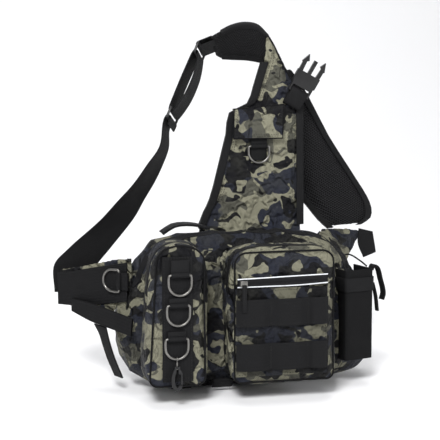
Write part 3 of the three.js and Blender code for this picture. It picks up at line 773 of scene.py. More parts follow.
def flat_coordinates(nodes):
    """Object coordinates laid flat: across turns with the depth, up stays up."""
    spot = nodes.add("ShaderNodeTexCoord").outputs["Object"]
    across = nodes.vector("DOT_PRODUCT", spot, (1.0, 0.62, 0.0))
    up = nodes.vector("DOT_PRODUCT", spot, (0.0, 0.5, 1.0))
    return spot, nodes.add("ShaderNodeCombineXYZ", {0: across, 1: up}).outputs[0]


def crumpled(nodes, spot):
    """A height of small creases in coated cloth."""
    bent = nodes.vector("ADD", spot, nodes.scaled(nodes.noise_colour(spot, 22.0), 0.02))
    ridge = nodes.math("ABSOLUTE", nodes.math("SUBTRACT", nodes.noise(bent, 46.0, 2.0, 0.55), 0.5))
    soft = nodes.noise(spot, 70.0, 2.0, 0.5)
    return nodes.math("MULTIPLY_ADD", soft, 0.35, nodes.step(ridge, 0.0, 0.16, 1.0, 0.0))


def camo_material(name="camouflage_cloth", shift=(0, 0, 0), scale=25.0, shade=1.0):
    """Coated plain-woven cloth with a camouflage print; shade multiplies every tone, as painted light when
    above 1 and painted shade when below 1.
    """
    tones = colours()
    material, n, shader = started(name, Specular_IOR_Level=0.16)
    spot, flat = flat_coordinates(n)
    print_node = group_node(
        n,
        camouflage_group(),
        Vector=n.vector("ADD", spot, shift),
        Scale=scale,
        # shade scales the print's tones: painted light above 1, painted shade below 1
        Khaki=rgba([v * shade for v in tones.khaki]),
        Olive=rgba([v * shade for v in tones.olive]),
        Slate=rgba([v * shade for v in tones.slate]),
        Charcoal=rgba([v * shade for v in tones.charcoal]),
    )
    weave = group_node(n, weave_group(), Vector=flat, Threads=1450.0)
    wear = group_node(n, wear_group(), Vector=spot, Scale=26.0, Roughness=0.42, Spread=0.3)
    # the weave's painted light and shade multiplies the print
    colour_out = n.blend(1.0, print_node["Color"], weave["Shade"], "MULTIPLY")
    rubbed = n.blend(n.math("MULTIPLY", wear["Wear"], 0.1), colour_out, rgba(tones.olive))
    height = n.math("MULTIPLY_ADD", weave["Height"], 0.06, crumpled(n, spot))
    wired(n, shader, height, 0.0062, 1.0, Base_Color=rubbed, Roughness=wear["Roughness"])
    return material


def tape_material(name, tone, row=0.0021, ribs=820.0, uv=True, rough=0.55, lift=0.0005):
    """Woven black tape; uv follows the strap, and otherwise the tape is laid flat."""
    material, n, shader = started(name, Specular_IOR_Level=0.15)
    spot, flat = flat_coordinates(n)
    along = n.add("ShaderNodeTexCoord").outputs["UV"] if uv else flat
    tape = group_node(n, webbing_group(), Vector=along, Row=row, Ribs=ribs)
    wear = group_node(n, wear_group(), Vector=spot, Scale=40.0, Roughness=rough, Spread=0.3)
    # the tape's painted light and shade multiplies its tone
    colour_out = n.blend(1.0, rgba(tone), tape["Shade"], "MULTIPLY")
    dusty = n.blend(n.math("MULTIPLY", wear["Wear"], 0.35), colour_out, rgba([v * 3 for v in tone]))
    wired(n, shader, tape["Height"], lift, 0.7, Base_Color=dusty, Roughness=wear["Roughness"])
    return material


def cloth_material(name, tone, threads=1300.0, rough=0.5):
    """Plain-woven black cloth."""
    material, n, shader = started(name, Specular_IOR_Level=0.12)
    spot, flat = flat_coordinates(n)
    weave = group_node(n, weave_group(), Vector=flat, Threads=threads)
    wear = group_node(n, wear_group(), Vector=spot, Scale=30.0, Roughness=rough, Spread=0.35)
    # the weave's painted light and shade multiplies the black
    colour_out = n.blend(1.0, rgba(tone), weave["Shade"], "MULTIPLY")
    dusty = n.blend(n.math("MULTIPLY", wear["Wear"], 0.3), colour_out, rgba([v * 3 for v in tone]))
    wired(n, shader, weave["Height"], 0.0004, 0.6, Base_Color=dusty, Roughness=wear["Roughness"])
    return material


def spacer_material(name, tone, uv=False):
    """Knitted spacer mesh with open holes; its raised knit is painted lighter as painted highlight and its
    holes near black as painted shade.
    """
    material, n, shader = started(name, Specular_IOR_Level=0.14)
    spot, _ = flat_coordinates(n)
    across = n.vector("DOT_PRODUCT", spot, (1.0, 0.35, 0.0))
    up = n.vector("DOT_PRODUCT", spot, (0.0, 0.35, 1.0))
    flat = n.add("ShaderNodeCombineXYZ", {0: across, 1: up}).outputs[0]
    along = n.add("ShaderNodeTexCoord").outputs["UV"] if uv else flat
    knit = group_node(n, mesh_group(), Vector=along, Holes=430.0 if uv else 340.0)
    wear = group_node(n, wear_group(), Vector=spot, Scale=30.0, Roughness=0.6, Spread=0.3)
    # painted highlight: the raised knit made up to 2.4 times lighter
    raised = n.blend(n.step(knit["Height"], 0.3, 1.0), rgba(tone), rgba([v * 2.4 for v in tone]))
    # painted shade: the holes made near black
    holes = n.blend(knit["Hole"], raised, rgba([v * 0.15 for v in tone]))
    wired(n, shader, knit["Height"], 0.0011, 0.9, Base_Color=holes, Roughness=wear["Roughness"])
    return material


def plastic_material(name, tone):
    """Moulded black plastic with a fine grain and rubbed patches."""
    material, n, shader = started(name, Specular_IOR_Level=0.38)
    spot = n.add("ShaderNodeTexCoord").outputs["Object"]
    wear = group_node(n, wear_group(), Vector=spot, Scale=90.0, Roughness=0.26, Spread=0.28)
    grain = n.noise(spot, 3200.0, 2.0, 0.6)
    rubbed = n.blend(n.math("MULTIPLY", wear["Wear"], 0.5), rgba(tone), rgba([v * 3.5 for v in tone]))
    wired(n, shader, grain, 0.00008, 0.35, Base_Color=rubbed, Roughness=wear["Roughness"])
    return material


def metal_material(name, tone):
    """Dark plated metal with fine scratches and worn, brighter spots."""
    material, n, shader = started(name, Metallic=0.85)
    spot = n.add("ShaderNodeTexCoord").outputs["Object"]
    wear = group_node(n, wear_group(), Vector=spot, Scale=120.0, Roughness=0.22, Spread=0.3)
    scratch = n.noise(n.vector("MULTIPLY", spot, (1.0, 1.0, 9.0)), 700.0, 3.0, 0.7)
    worn = n.blend(n.math("MULTIPLY", wear["Wear"], 0.6), rgba(tone), rgba([min(1, v * 2.2) for v in tone]))
    wired(n, shader, scratch, 0.00006, 0.4, Base_Color=worn, Roughness=wear["Roughness"])
    return material


def reflective_material(name, tone):
    """Silver reflective tape with a fine beaded face."""
    material, n, shader = started(name, Metallic=0.15)
    spot = n.add("ShaderNodeTexCoord").outputs["Object"]
    beads = n.add("ShaderNodeTexVoronoi", {"Vector": spot, "Scale": 1500.0}).outputs["Distance"]
    wear = group_node(n, wear_group(), Vector=spot, Scale=60.0, Roughness=0.25, Spread=0.3)
    scuffed = n.blend(n.math("MULTIPLY", wear["Wear"], 0.6), rgba(tone), rgba([v * 0.4 for v in tone]))
    wired(n, shader, beads, 0.0001, 0.4, Base_Color=scuffed, Roughness=wear["Roughness"])
    return material


def floor_material(name, tone):
    """A matt studio floor, very slightly uneven."""
    material, n, shader = started(name, Specular_IOR_Level=0.2)
    spot = n.add("ShaderNodeTexCoord").outputs["Object"]
    cloudy = n.noise(spot, 2.0, 2.0)
    pale = n.blend(n.step(cloudy, 0.3, 0.7, 0.0, 0.06), rgba(tone), rgba([v * 0.94 for v in tone]))
    wired(n, shader, Base_Color=pale, Roughness=n.step(cloudy, 0.2, 0.8, 0.75, 0.85))
    return material


_made = {}


def finish_of(key):
    """The material of a finish, made when it is first asked for."""
    tones = colours()
    makers = {
        # painted shade: shade 0.85 darkens the body's cloth for the shade between and beside the pouches
        "camo": lambda: camo_material(shade=0.85),
        # painted light: shade 1.12 makes the yoke's cloth paler for the light falling on it
        "camo_yoke": lambda: camo_material("camouflage_cloth_yoke", (0.36, 0.23, 0.41), shade=1.12),
        "camo_pouch": lambda: camo_material("camouflage_cloth_pouch", (0.73, 0.4, 0.25)),
        "camo_pocket": lambda: camo_material("camouflage_cloth_pocket", (0.2, 0.9, 0.51)),
        # painted light: shade 1.15 makes the flap paler for the light falling on it
        "camo_flap": lambda: camo_material("camouflage_cloth_flap", (0.51, 0.71, 0.44), shade=1.15),
        # painted shade: shade 0.6 darkens the slash pocket's panel for the shade under its zip and loops
        "camo_panel": lambda: camo_material("camouflage_cloth_panel", (0.62, 0.15, 0.77), shade=0.6),
        "webbing": lambda: tape_material("black_webbing", tones.webbing),
        "tape": lambda: tape_material("black_binding", tones.webbing, 0.0013, 1300.0, False, 0.5, 0.0003),
        "zip": lambda: tape_material("zip_tape", tones.tape, 0.0011, 1500.0, True, 0.45, 0.0003),
        "cloth": lambda: cloth_material("black_cloth", tones.webbing),
        "mesh": lambda: spacer_material("spacer_mesh", tones.mesh),
        "mesh_strap": lambda: spacer_material("spacer_mesh_strap", tones.mesh, True),
        "plastic": lambda: plastic_material("black_plastic", tones.plastic),
        "metal": lambda: metal_material("dark_metal", tones.metal),
        "reflective": lambda: reflective_material("reflective_edge", tones.reflective),
        "thread": lambda: cloth_material("sewing_thread", tones.thread, 5000.0, 0.55),
        "floor": lambda: floor_material("studio_floor", tones.floor),
    }
    if key not in _made:
        _made[key] = makers[key]()
    return _made[key]


def worn(piece, finish, replaces=(), body="bag", name=None):
    """Dresses a piece in a finish."""
    return dressed(piece, finish_of(finish), replaces, body, name)


# Body and pouches


def body_ring(up, left, right, front, back, grow, count=96):
    """The body's outline at one height, in millimetres."""
    near = BODY["front"] + BODY["deep"] * front - grow
    far = BODY["front"] + BODY["deep"] * back + grow
    west = -BODY["left"] * left - grow
    east = BODY["right"] * right + grow
    power = 2 / BODY["power"]
    ring = []
    for i in range(count):
        turn = 2 * math.pi * (i + 0.5) / count
        c, s = math.cos(turn), math.sin(turn)
        x = (west + east) / 2 + (east - west) / 2 * math.copysign(abs(c) ** power, c)
        y = (near + far) / 2 + (far - near) / 2 * math.copysign(abs(s) ** power, s)
        ring.append(Vector((x, y + BODY["sweep"] * (x / BODY["right"]) ** 2, up)))
    return ring


def body_form(grow):
    """The body as a closed loft, grown outwards by grow millimetres."""
    keys = ("left", "right", "front", "back")
    line = run_through([Vector((row["up"], row["left"], row["right"])) for row in BODY_ROWS], 4)
    depth = run_through([Vector((row["up"], row["front"], row["back"])) for row in BODY_ROWS], 4)
    last = len(line) - 1
    rings = []
    for i, (wide, deep) in enumerate(zip(line, depth)):
        end = -grow if i == 0 else grow if i == last else 0
        z = BODY["low"] + BODY["high"] * wide.x + end
        shares = dict(zip(keys, (wide.y, wide.z, deep.y, deep.z)))
        rings.append([place(p) for p in body_ring(z, grow=grow, **shares)])
    return from_rings("main_body_cloth", rings)


def pouch_outline(form, inset=0.0, steps=6):
    """A pouch seen from the front, as (x, z) points in millimetres."""
    low_left, high_left = form["left"]
    foot, crown = form["foot"], form["crown"]
    rounds = [
        (form["right"] - foot, form["low"] + foot, foot, -90),
        (form["right"] - crown, form["high"] - crown, crown, 0),
        (high_left + crown, form["high"] - crown, crown, 90),
        (low_left + foot, form["low"] + foot, foot, 180),
    ]
    return [p for x, z, r, start in rounds for p in arc(x, z, r - inset, start, start + 90, steps)]


def pouch_form(name, form, body_tree, grow):
    """A pouch as a closed box with rounded front edges that ends against the body."""
    profile = ((9, 0), (5, 0.4), (2.2, 1.6), (0.6, 3.4), (0, 6))
    rings = [
        [place((x, form["front"] - grow + step, z)) for x, z in pouch_outline(form, inset - grow)]
        for inset, step in profile
    ]
    backs = []
    for x, z in pouch_outline(form, -grow):
        hit = body_tree.ray_cast(place((x, -200, z)), Vector((0, 1, 0)))[0]
        reach = min(hit.y * 1000 + SHOULDER_REST.y, 40) if hit else OPEN_BACK
        if abs(x) > 120 or z > 170:
            reach = min(reach, OPEN_BACK)
        backs.append(reach - 0.6)
    for share in (0.35, 0.7, 1.0):
        start = form["front"] - grow + 6
        rings.append(
            [
                place((x, start + (back - start) * share, z))
                for (x, z), back in zip(pouch_outline(form, -grow), backs)
            ]
        )
    return from_rings(name, rings)


def padded_cloth(piece, voxel, fold, cap=None, size=0.03, spread=(1, 1, 1), seed=0.0, sharp=0.5, levels=1):
    """Evens the mesh, swells it, gives it folds and smooths it."""
    cap = sizes().puff if cap is None else cap
    remeshed(piece, voxel)
    swell(piece, cap, cap)
    if levels:
        subdivided(piece, levels)
    folded(piece, fold, spread, size, seed, sharp)
    smooth(piece, 80)
    return piece


def sewn_to(piece, tree, near=0.026, depth=0.021):
    """Leads the piece's end on into the cloth that it is sewn to; near and depth are in metres."""
    points = coordinates(piece.data)
    for i, p in enumerate(points):
        spot, normal, _, away = tree.find_nearest(Vector(p))
        step = Vector(p) - spot
        if away < near and step.dot(normal) > 0:
            points[i] -= np.array(step.normalized()) * depth * (1 - away / near)
    set_coordinates(piece.data, points)
    return piece


def over_the_top(tree, y, low, centre, half, count=150, lift=0.0006):
    """Pairs of points over a pouch or the body, half a tape to each side of y, in millimetres."""
    rows = []
    middle = Vector((centre[0], y, centre[1]))
    for i in range(count + 1):
        turn = math.radians(-30 + 240 * i / count)
        way = Vector((math.cos(turn), 0, math.sin(turn)))
        pair = []
        for side in (-half, half):
            start = place(middle + Vector((0, side, 0)))
            hit, normal, _, _ = tree.ray_cast(start + way * 0.6, -way)
            if hit is None:
                break
            pair.append((hit + normal * lift) * 1000 + SHOULDER_REST)
        if len(pair) == 2 and (pair[0] + pair[1]).z / 2 > low:
            rows.append(tuple(pair))
    return rows


def on_surface(tree, line, lift=0.1):
    """The line's points moved to the nearest surface and raised, in millimetres."""
    out = []
    for p in line:
        spot, normal, _, _ = tree.find_nearest(place(p))
        out.append((spot + normal * lift / 1000) * 1000 + SHOULDER_REST)
    return out


def evened(line, rounds=3):
    """A closed line with its small kinks taken out."""
    for _ in range(rounds):
        line = [(line[i - 1] + p * 2 + line[(i + 1) % len(line)]) / 4 for i, p in enumerate(line)]
    return line


def from_front(tree, line, lift=0.1):
    """Points of the line where a ray from the front meets the surface, with the normals there."""
    out = []
    for p in line:
        hit, normal, _, _ = tree.ray_cast(place((p[0], -200, p[2])), Vector((0, 1, 0)))
        if hit:
            out.append(((hit + normal * lift / 1000) * 1000 + SHOULDER_REST, normal))
    return out


def stitched(name, runs, pitch=None, body="bag"):
    """Rows of stitches; each run is a list of (point in millimetres, outward normal)."""
    pitch = pitch or sizes().stitch * 1000
    radius = sizes().thread * 1000
    points, faces = [], []
    for run in runs:
        spots = [Vector(p) for p, _ in run]
        reach = np.cumsum([0] + [(b - a).length for a, b in zip(spots, spots[1:])])
        for start in np.arange(0.3 * pitch, reach[-1] - 0.7 * pitch, pitch):
            ends = []
            for at in (start, start + 0.68 * pitch):
                i = min(int(np.searchsorted(reach, at, "right")) - 1, len(spots) - 2)
                share = (at - reach[i]) / max(reach[i + 1] - reach[i], 1e-9)
                ends.append((spots[i].lerp(spots[i + 1], share), run[i][1]))
            (a, out), (b, _) = ends
            along = (b - a).normalized()
            side = along.cross(out).normalized()
            up = side.cross(along)
            base = len(points)
            for share, wide, rise in ((0, 0.5, -0.25), (0.25, 1, 0.1), (0.75, 1, 0.1), (1, 0.5, -0.25)):
                centre = a.lerp(b, share) + up * rise
                for k in range(6):
                    turn = math.pi * k / 3
                    spoke = (side * math.cos(turn) + up * math.sin(turn)) * radius * wide
                    points.append(place(centre + spoke))
            for i in range(3):
                for k in range(6):
                    here, there = base + i * 6, base + i * 6 + 6
                    after = (k + 1) % 6
                    faces.append((here + k, here + after, there + after, there + k))
            faces.append(tuple(base + k for k in range(5, -1, -1)))
            faces.append(tuple(base + 18 + k for k in range(6)))
    piece = from_faces(name, points, faces)
    tidy(piece, 0)
    smooth(piece, 60)
    return worn(piece, "thread", body=body)


def strip_runs(rows, steps, off, shares):
    """Lines along a strap at the given shares of its width, raised from its middle by off."""
    edges = [run_through([row[side] for row in rows], steps) for side in (0, 1)]
    pairs = list(zip(*edges))
    middles = [(a + b) / 2 for a, b in pairs]
    runs = [[] for _ in shares]
    for i, (a, b) in enumerate(pairs):
        after, before = middles[min(i + 1, len(pairs) - 1)], middles[max(i - 1, 0)]
        out = (after - before).cross(b - a).normalized()
        for run, share in zip(runs, shares):
            run.append((a.lerp(b, share) + out * off, out * (1 if off >= 0 else -1)))
    return runs


def resampled(rows, pitch):
    """Rows placed again at an even pitch along their middle line, in millimetres."""
    middles = [(a + b) / 2 for a, b in rows]
    lengths = np.cumsum([0] + [(q - p).length for p, q in zip(middles, middles[1:])])
    count = max(2, int(lengths[-1] / pitch))
    out = []
    for target in np.linspace(0, lengths[-1], count):
        i = min(int(np.searchsorted(lengths, target, "right")) - 1, len(rows) - 2)
        t = (target - lengths[i]) / max(lengths[i + 1] - lengths[i], 1e-9)
        out.append((rows[i][0].lerp(rows[i + 1][0], t), rows[i][1].lerp(rows[i + 1][1], t)))
    return out


def zip_strip(name, rows, lift=0.2):
    """A closed zip: two tapes and a row of teeth that come from each side in turn."""
    pitch = sizes().tooth * 1000 / 4
    rows = resampled(rows, pitch)

    def cut(width, i):
        middle = width / 2
        tape = 0.9
        left = 1.5 if i % 4 in (0, 1) else 0.9
        right = 1.5 if i % 4 in (2, 3) else 0.9
        return [
            (0, 0),
            (width, 0),
            (width, tape * 0.7),
            (middle + 2.3, tape),
            (middle + 1.9, lift + right),
            (middle + 0.5, lift + right + 0.2),
            (middle, lift + 1.2),
            (middle - 0.5, lift + left + 0.2),
            (middle - 1.9, lift + left),
            (middle - 2.3, tape),
            (0, tape * 0.7),
        ]

    return strip(name, rows, 1, cut)


class BAG_OT_body(bpy.types.Operator):
    """Padded main body with the zip over its top"""

    bl_idname = "sling_bag.body"
    bl_label = "Body"

    def execute(self, context):
        cloth = body_form(0)
        padded_cloth(cloth, 3.6, sizes().fold * 2.2, size=0.034, spread=(1, 1, 1.35), seed=4.0, sharp=0.6)
        worn(cloth, "camo", "main_body", name="body_cloth")
        rows = over_the_top(surface(cloth), 44, 118, (-5, 80), 4.2, 260)
        worn(zip_strip("body_zip", rows), "zip", "main_zipper")
        return {"FINISHED"}


class BAG_OT_pouches(bpy.types.Operator):
    """Left pouch and right pocket with their zips and piping"""

    bl_idname = "sling_bag.pouches"
    bl_label = "Front pouches"

    def execute(self, context):
        body_tree = surface(bpy.data.objects["body_cloth"])
        for key, form, finish, y, fold, seed in (
            ("left_pouch", POUCH, "camo_pouch", -30, 1.5, 7.0),
            ("right_pocket", POCKET, "camo_pocket", -32, 1.2, 12.0),
        ):
            cloth = pouch_form(key + "_form", form, body_tree, 0)
            padded_cloth(cloth, 2.6, sizes().fold * fold, size=0.03, spread=(1, 0.8, 1), seed=seed)
            hold_back(cloth, form["front"] + 0.1)
            worn(cloth, finish, key, name=key + "_cloth")
            centre = (sum(form["left"]) / 4 + form["right"] / 2, 100)
            rows = over_the_top(surface(cloth), y, 120, centre, 4.0, 200)
            worn(zip_strip(key + "_zip", rows), "zip", key + "_zipper")
            line = [Vector((x, form["front"] + 0.5, z)) for x, z in pouch_outline(form, 2.2)]
            line = on_surface(surface(cloth), run_through(line, 2, True), 0.4)
            bead = cord_round(key + "_piping", evened(line), sizes().piping * 1000, 8, True)
            worn(bead, "cloth")
        return {"FINISHED"}


def hold_back(piece, y):
    """Presses the piece's points back behind a flat front, so that what is sewn on lies clear."""
    limit = (y - SHOULDER_REST.y) / 1000
    points = coordinates(piece.data)
    low = points[:, 1] < limit
    points[low, 1] = limit + (points[low, 1] - limit) * 0.08
    set_coordinates(piece.data, points)


# Webbing, rings and loops

POUCH_WEB = {"left": -129, "wide": 38, "low": 17, "high": 171}
POUCH_RINGS = {"x": -107.5, "step": -2.2, "bars": (149, 112, 71)}
PANEL = {"left": -38, "right": 79, "low": 18, "high": 128, "thick": 2.6}
RING = {"half": 14, "drop": 25, "corner": 2.5}
TAB = {"wide": 22, "out": 3.45}
POUCH_WEB_FACE = POUCH["front"] - 2.0
PANEL_FACE = POCKET["front"] - 0.4 - PANEL["thick"]
POUCH_BAR_Y = POUCH_WEB_FACE - 0.4 - TAB["out"]


def ring_line(drop):
    """The middle line of a D-ring's wire in its own plane: bar along x, bow below."""
    half, corner = RING["half"], RING["corner"]
    centre = -max(drop - half, corner + 1)
    bow = [(half * x, centre + (drop + centre) * z) for x, z in arc(0, 0, 1, 0, -180, 18)]
    bar = [(half * s, 0) for s in (-0.75, -0.3, 0.3, 0.75)]
    turn = [(half - 0.9, -0.6), (half, -corner)]
    back = [(-half, -corner), (-half + 0.9, -0.6)]
    return bar + turn + bow + back


def d_ring(name, origin, drop, x_axis=(1, 0, 0), z_axis=(0, 0, 1)):
    """A welded D-ring of round wire."""
    z = Vector(z_axis).normalized()
    x = square(x_axis, z)
    line = [Vector(origin) + x * u + z * w for u, w in ring_line(drop)]
    return cord_round(name, run_through(line, 2, True), sizes().wire * 1000, 12, True)


class BAG_OT_rings(bpy.types.Operator):
    """Webbing down the left pouch, rings, ring tabs and the snap hook"""

    bl_idname = "sling_bag.rings"
    bl_label = "Rings and hook"

    def execute(self, context):
        web = POUCH_WEB
        y = POUCH["front"] - 1.2
        right = web["left"] + web["wide"]
        rows = [((right, y, z), (web["left"], y, z)) for z in np.linspace(web["low"], web["high"], 8)]
        worn(strip("pouch_web", rows, 3, woven(1.6)), "webbing", "pouch_webbing")
        for i, z in enumerate(POUCH_RINGS["bars"]):
            x = POUCH_RINGS["x"] + POUCH_RINGS["step"] * i
            ring = d_ring(f"pouch_d_ring_{i + 1}", (x, POUCH_BAR_Y, z), RING["drop"])
            worn(ring, "metal", f"pouch_ring_{i + 1}", f"pouch_ring_{i + 1}")
            tab = f"pouch_ring_tab_{i + 1}"
            worn(finished(tab, 0.35), "tape", tab, name=tab + "_cloth")
        out = Vector((-0.707, -0.707, 0))
        bar = Vector((-160, 49, 127)) + out * (3 + 0.4 + 1.6 + 0.4 + TAB["out"] + 0.8)
        ring = d_ring("wing_d_ring", bar, RING["drop"], (0, 0, -1), (0.707, -0.707, 0))
        worn(ring, "metal", "wing_ring", "wing_ring")
        worn(d_ring("yoke_d_ring", (27.5, 89.5 - TAB["out"], 292), 22), "metal", "yoke_ring", "yoke_ring")
        for tab in ("wing_ring_tab", "yoke_ring_tab"):
            worn(finished(tab, 0.35), "tape", tab, name=tab + "_cloth")
        eye = copy_of("hook_eye")
        subdivided(eye, 2)
        smooth(eye, 70)
        worn(eye, "metal", "hook_eye", "hook_eye", "hook_swivel_eye")
        worn(finished("hook_body", 0.7, 3, 50), "plastic", "hook_body", "hook", "hook_moulding")
        worn(finished("hook_gate", 0.5, 2), "plastic", "hook_gate", "hook_gate", "hook_spring_gate")
        return {"FINISHED"}


def loop_rows(low):
    """A row of webbing loops: sewn down at four places and bulging between them."""
    stitches = (-38, 6, 54, 79)
    high = 34
    y = PANEL_FACE - 0.4 - 0.8
    rows = []
    for i, x in enumerate(stitches):
        rows.append(((x, y, low + high), (x, y, low)))
        if i + 1 < len(stitches):
            part = (stitches[i + 1] - x) / 4
            rows += [
                ((x + part * k, y - 2.2, low + high), (x + part * k, y - 3.8, low))
                for k in (1, 3)
            ]
    return rows


class BAG_OT_slash_pocket(bpy.types.Operator):
    """Slash pocket with its zip, reflective edges and webbing loops"""

    bl_idname = "sling_bag.slash_pocket"
    bl_label = "Slash pocket"

    def execute(self, context):
        panel = finished("slash_pocket", 0.9, 3)
        worn(panel, "camo_panel", "slash_pocket", name="slash_pocket_cloth")
        face = PANEL_FACE
        rows = run_rows(
            [
                ((-36, face + 0.6, 141), (-36, face + 0.6, 129.2)),
                ((0, face + 0.2, 142), (0, face + 0.2, 129.2)),
                ((40, face + 0.2, 143), (40, face + 0.2, 129.2)),
                ((79, face + 0.6, 143.6), (79, face + 0.6, 131)),
            ]
        )
        zip_rows = [(a, b) for b, a in rows]
        worn(zip_strip("slash_zip", zip_rows, lift=0.05), "zip", "slash_zipper")
        for name, share in (("reflective_edge_upper", 0.06), ("reflective_edge_lower", 0.9)):
            line = [a.lerp(b, share) + Vector((0, -0.9, 0)) for a, b in rows]
            worn(cord_round(name + "_bead", line, 0.75, 8), "reflective", name)
        for name, low in (("webbing_loops_upper", 81), ("webbing_loops_lower", 26)):
            worn(strip(name + "_web", loop_rows(low), 6, woven(1.5, parts=5)), "webbing", name)
        worn(finished("slash_slider", 0.8, 3), "metal", "slash_slider", name="zip_slider")
        worn(finished("slash_pull", 0.6, 2), "tape", "slash_pull", name="zip_pull")
        return {"FINISHED"}


def run_rows(rows, steps=12):
    """The rows' two edges, smoothed."""
    return list(zip(run_through([r[0] for r in rows], steps), run_through([r[1] for r in rows], steps)))


# Holster and wings

HOLSTER = {"x": 120, "y": -4, "turn": 16, "wide": 43}


def beside_holster(out, along, z):
    """A point beside the holster's outer side."""
    turn = Matrix.Rotation(math.radians(HOLSTER["turn"]), 3, "Z")
    return turn @ Vector((HOLSTER["wide"] + out, along, 0)) + Vector((HOLSTER["x"], HOLSTER["y"], z))


class BAG_OT_holster(bpy.types.Operator):
    """Holster with its elastic band, strap, pull and cord"""

    bl_idname = "sling_bag.holster"
    bl_label = "Holster"

    def execute(self, context):
        case = finished("holster", 0.7, 2)
        worn(case, "cloth", "holster", name="holster_cloth")
        worn(finished("holster_band", 0.5, 2), "tape", "holster_band", name="holster_elastic")
        path = ((1.8, 133), (5, 139), (11.5, 135.5), (17, 120), (22, 101), (19.5, 92))
        rows = [(beside_holster(out, 4, z), beside_holster(out, 15, z)) for out, z in path]
        worn(strip("holster_lid_strap", rows, 6, woven(2.4, parts=4)), "webbing", "holster_strap")
        path = ((4.2, 116), (9, 99), (12, 78))
        rows = [(beside_holster(out, 5, z), beside_holster(out, 12, z)) for out, z in path]
        worn(strip("holster_zip_pull", rows, 6, woven(2.6, parts=4)), "webbing", "holster_pull")
        body = surface(bpy.data.objects["body_cloth"])
        held = on_surface(body, [Vector((143, 77, 147))], 0.4)
        line = run_through(held + [(148, 72, 145.4), (155, 46, 141), (157, 24, 137)], 10)
        worn(cord_round("holster_elastic_cord", line, 1.1, 8), "tape", "holster_cord")
        return {"FINISHED"}


WING_WEB = [
    ((x, y, high), (x, y, low))
    for x, y, low, high in (
        (-154, 42, 101, 151),
        (-172, 60, 96, 146),
        (-196, 84, 91, 139),
        (-218, 107, 87, 132),
        (-233, 124, 86, 129),
    )
]
BELT = [
    ((-222, 98, 97), (-222, 98, 80)),
    ((-201, 70, 95), (-201, 70, 71)),
    ((-176, 41, 89), (-177, 41, 65)),
    ((-155, 17, 83), (-157, 17, 60)),
]


class BAG_OT_wings(bpy.types.Operator):
    """Left and right wings with their webbing and belt"""

    bl_idname = "sling_bag.wings"
    bl_label = "Wings"

    def execute(self, context):
        for node, voxel, cap in (("left_wing", 1.9, 0.0014), ("right_wing", 1.6, 0.0011)):
            cloth = padded_cloth(
                copy_of(node), voxel, sizes().fold * 0.8, cap=cap, size=0.025, seed=20.0
            )
            if node == "right_wing":
                sewn_to(cloth, surface(bpy.data.objects["body_cloth"]))
            worn(cloth, "camo", node, name=node + "_cloth")
        worn(strip("wing_web", WING_WEB, 6, woven(1.6, off=4.4, parts=8)), "webbing", "wing_band")
        worn(strip("belt", BELT, 8, woven(3.0, off=1.6)), "webbing", "side_belt")
        rows = [
            ((-196.5, 66.4, 68.8), (-182.5, 50, 65.6)),
            ((-190, 67.5, 56), (-181, 48, 56)),
            ((-186, 64, 42), (-178, 44, 42)),
            ((-181, 60, 25), (-173, 40, 25)),
            ((-172, 56, 2), (-164, 38, 2)),
        ]
        worn(strip("belt_loose_end", rows, 6, woven(2.2)), "webbing", "belt_tail")
        rows = [
            ((182, 131.5, 172), (202, 130.4, 167)),
            ((181, 131.5, 151), (205, 130.4, 151)),
            ((189, 131, 131), (207, 130, 138)),
        ]
        worn(strip("right_web_tail", rows, 6, woven(2.4)), "webbing", "right_web_end")
        return {"FINISHED"}


# Yoke, strap and pad

UPPER_SLIDE = Vector((-41, 137, 414))
LOWER_SLIDE = Vector((-81.5, 120, 330))
SLIDE_UP = (UPPER_SLIDE - LOWER_SLIDE).normalized()
SLIDE_ACROSS = square((0.38, 0.87, -0.32), SLIDE_UP)
SLIDE_OUT = SLIDE_ACROSS.cross(SLIDE_UP)
SLIDE_HALF = 6.5
WEB_WIDE = 38
FOLD_OUT = 3.6


def from_bar(bar, along, out):
    """The two edges of the webbing at a place measured from a slide's bar."""
    middle = bar + SLIDE_UP * along + SLIDE_OUT * out
    return (middle - SLIDE_ACROSS * WEB_WIDE / 2, middle + SLIDE_ACROSS * WEB_WIDE / 2)


def turn_round(bar, start):
    """Webbing turned half round a slide's bar."""
    turns = [math.radians(start + turn) for turn in (0, 45, 90, 135, 180)]
    return [from_bar(bar, FOLD_OUT * math.sin(t), FOLD_OUT * math.cos(t)) for t in turns]


ARCH_ROWS = [
    ((44, 105.5, 437), (64, 107, 400)),
    ((31, 108, 449), (43, 121, 402)),
    ((15, 112, 452), (24, 136, 406)),
    ((-1, 116, 449), (4, 145, 407)),
    ((-17, 117, 441), (-8, 151, 408)),
    ((-29, 118, 434), (-15, 155, 412)),
]


def padded_cut(rim, full, rim_wide):
    """Cut of a padded panel, thin at its rims."""

    def cut(width, _):
        share = np.linspace(0, 1, 15)
        half = []
        for s in share:
            u = width * s
            edge = min(u, width - u)
            rise = min(1.0, edge / (rim_wide * 2))
            half.append((u, -(rim + (full - rim) * math.sin(rise * math.pi / 2))))
        return half + [(u, -v) for u, v in reversed(half)]

    return cut


class BAG_OT_yoke(bpy.types.Operator):
    """Padded yoke with bound edges, and its small pocket with a flap"""

    bl_idname = "sling_bag.yoke"
    bl_label = "Yoke"

    def execute(self, context):
        cloth = padded_cloth(
            copy_of("yoke_panel"), 2.6, sizes().fold * 1.1, cap=0.0022, size=0.032, seed=31.0
        )
        body = surface(bpy.data.objects["body_cloth"])
        sewn_to(cloth, body)
        worn(cloth, "camo_yoke", "yoke_panel", name="yoke_cloth")
        for side in ("left", "right"):
            node = f"yoke_binding_{side}"
            tape = sewn_to(finished(node, 0.6, 3, 60), body)
            worn(tape, "tape", node, name=node + "_tape")
        worn(finished("yoke_pocket", 0.5, 2), "camo_yoke", "yoke_pocket", name="small_pocket_cloth")
        flap = finished("pocket_flap", 0.7, 3)
        worn(flap, "camo_flap", "pocket_flap", name="small_pocket_flap")
        return {"FINISHED"}


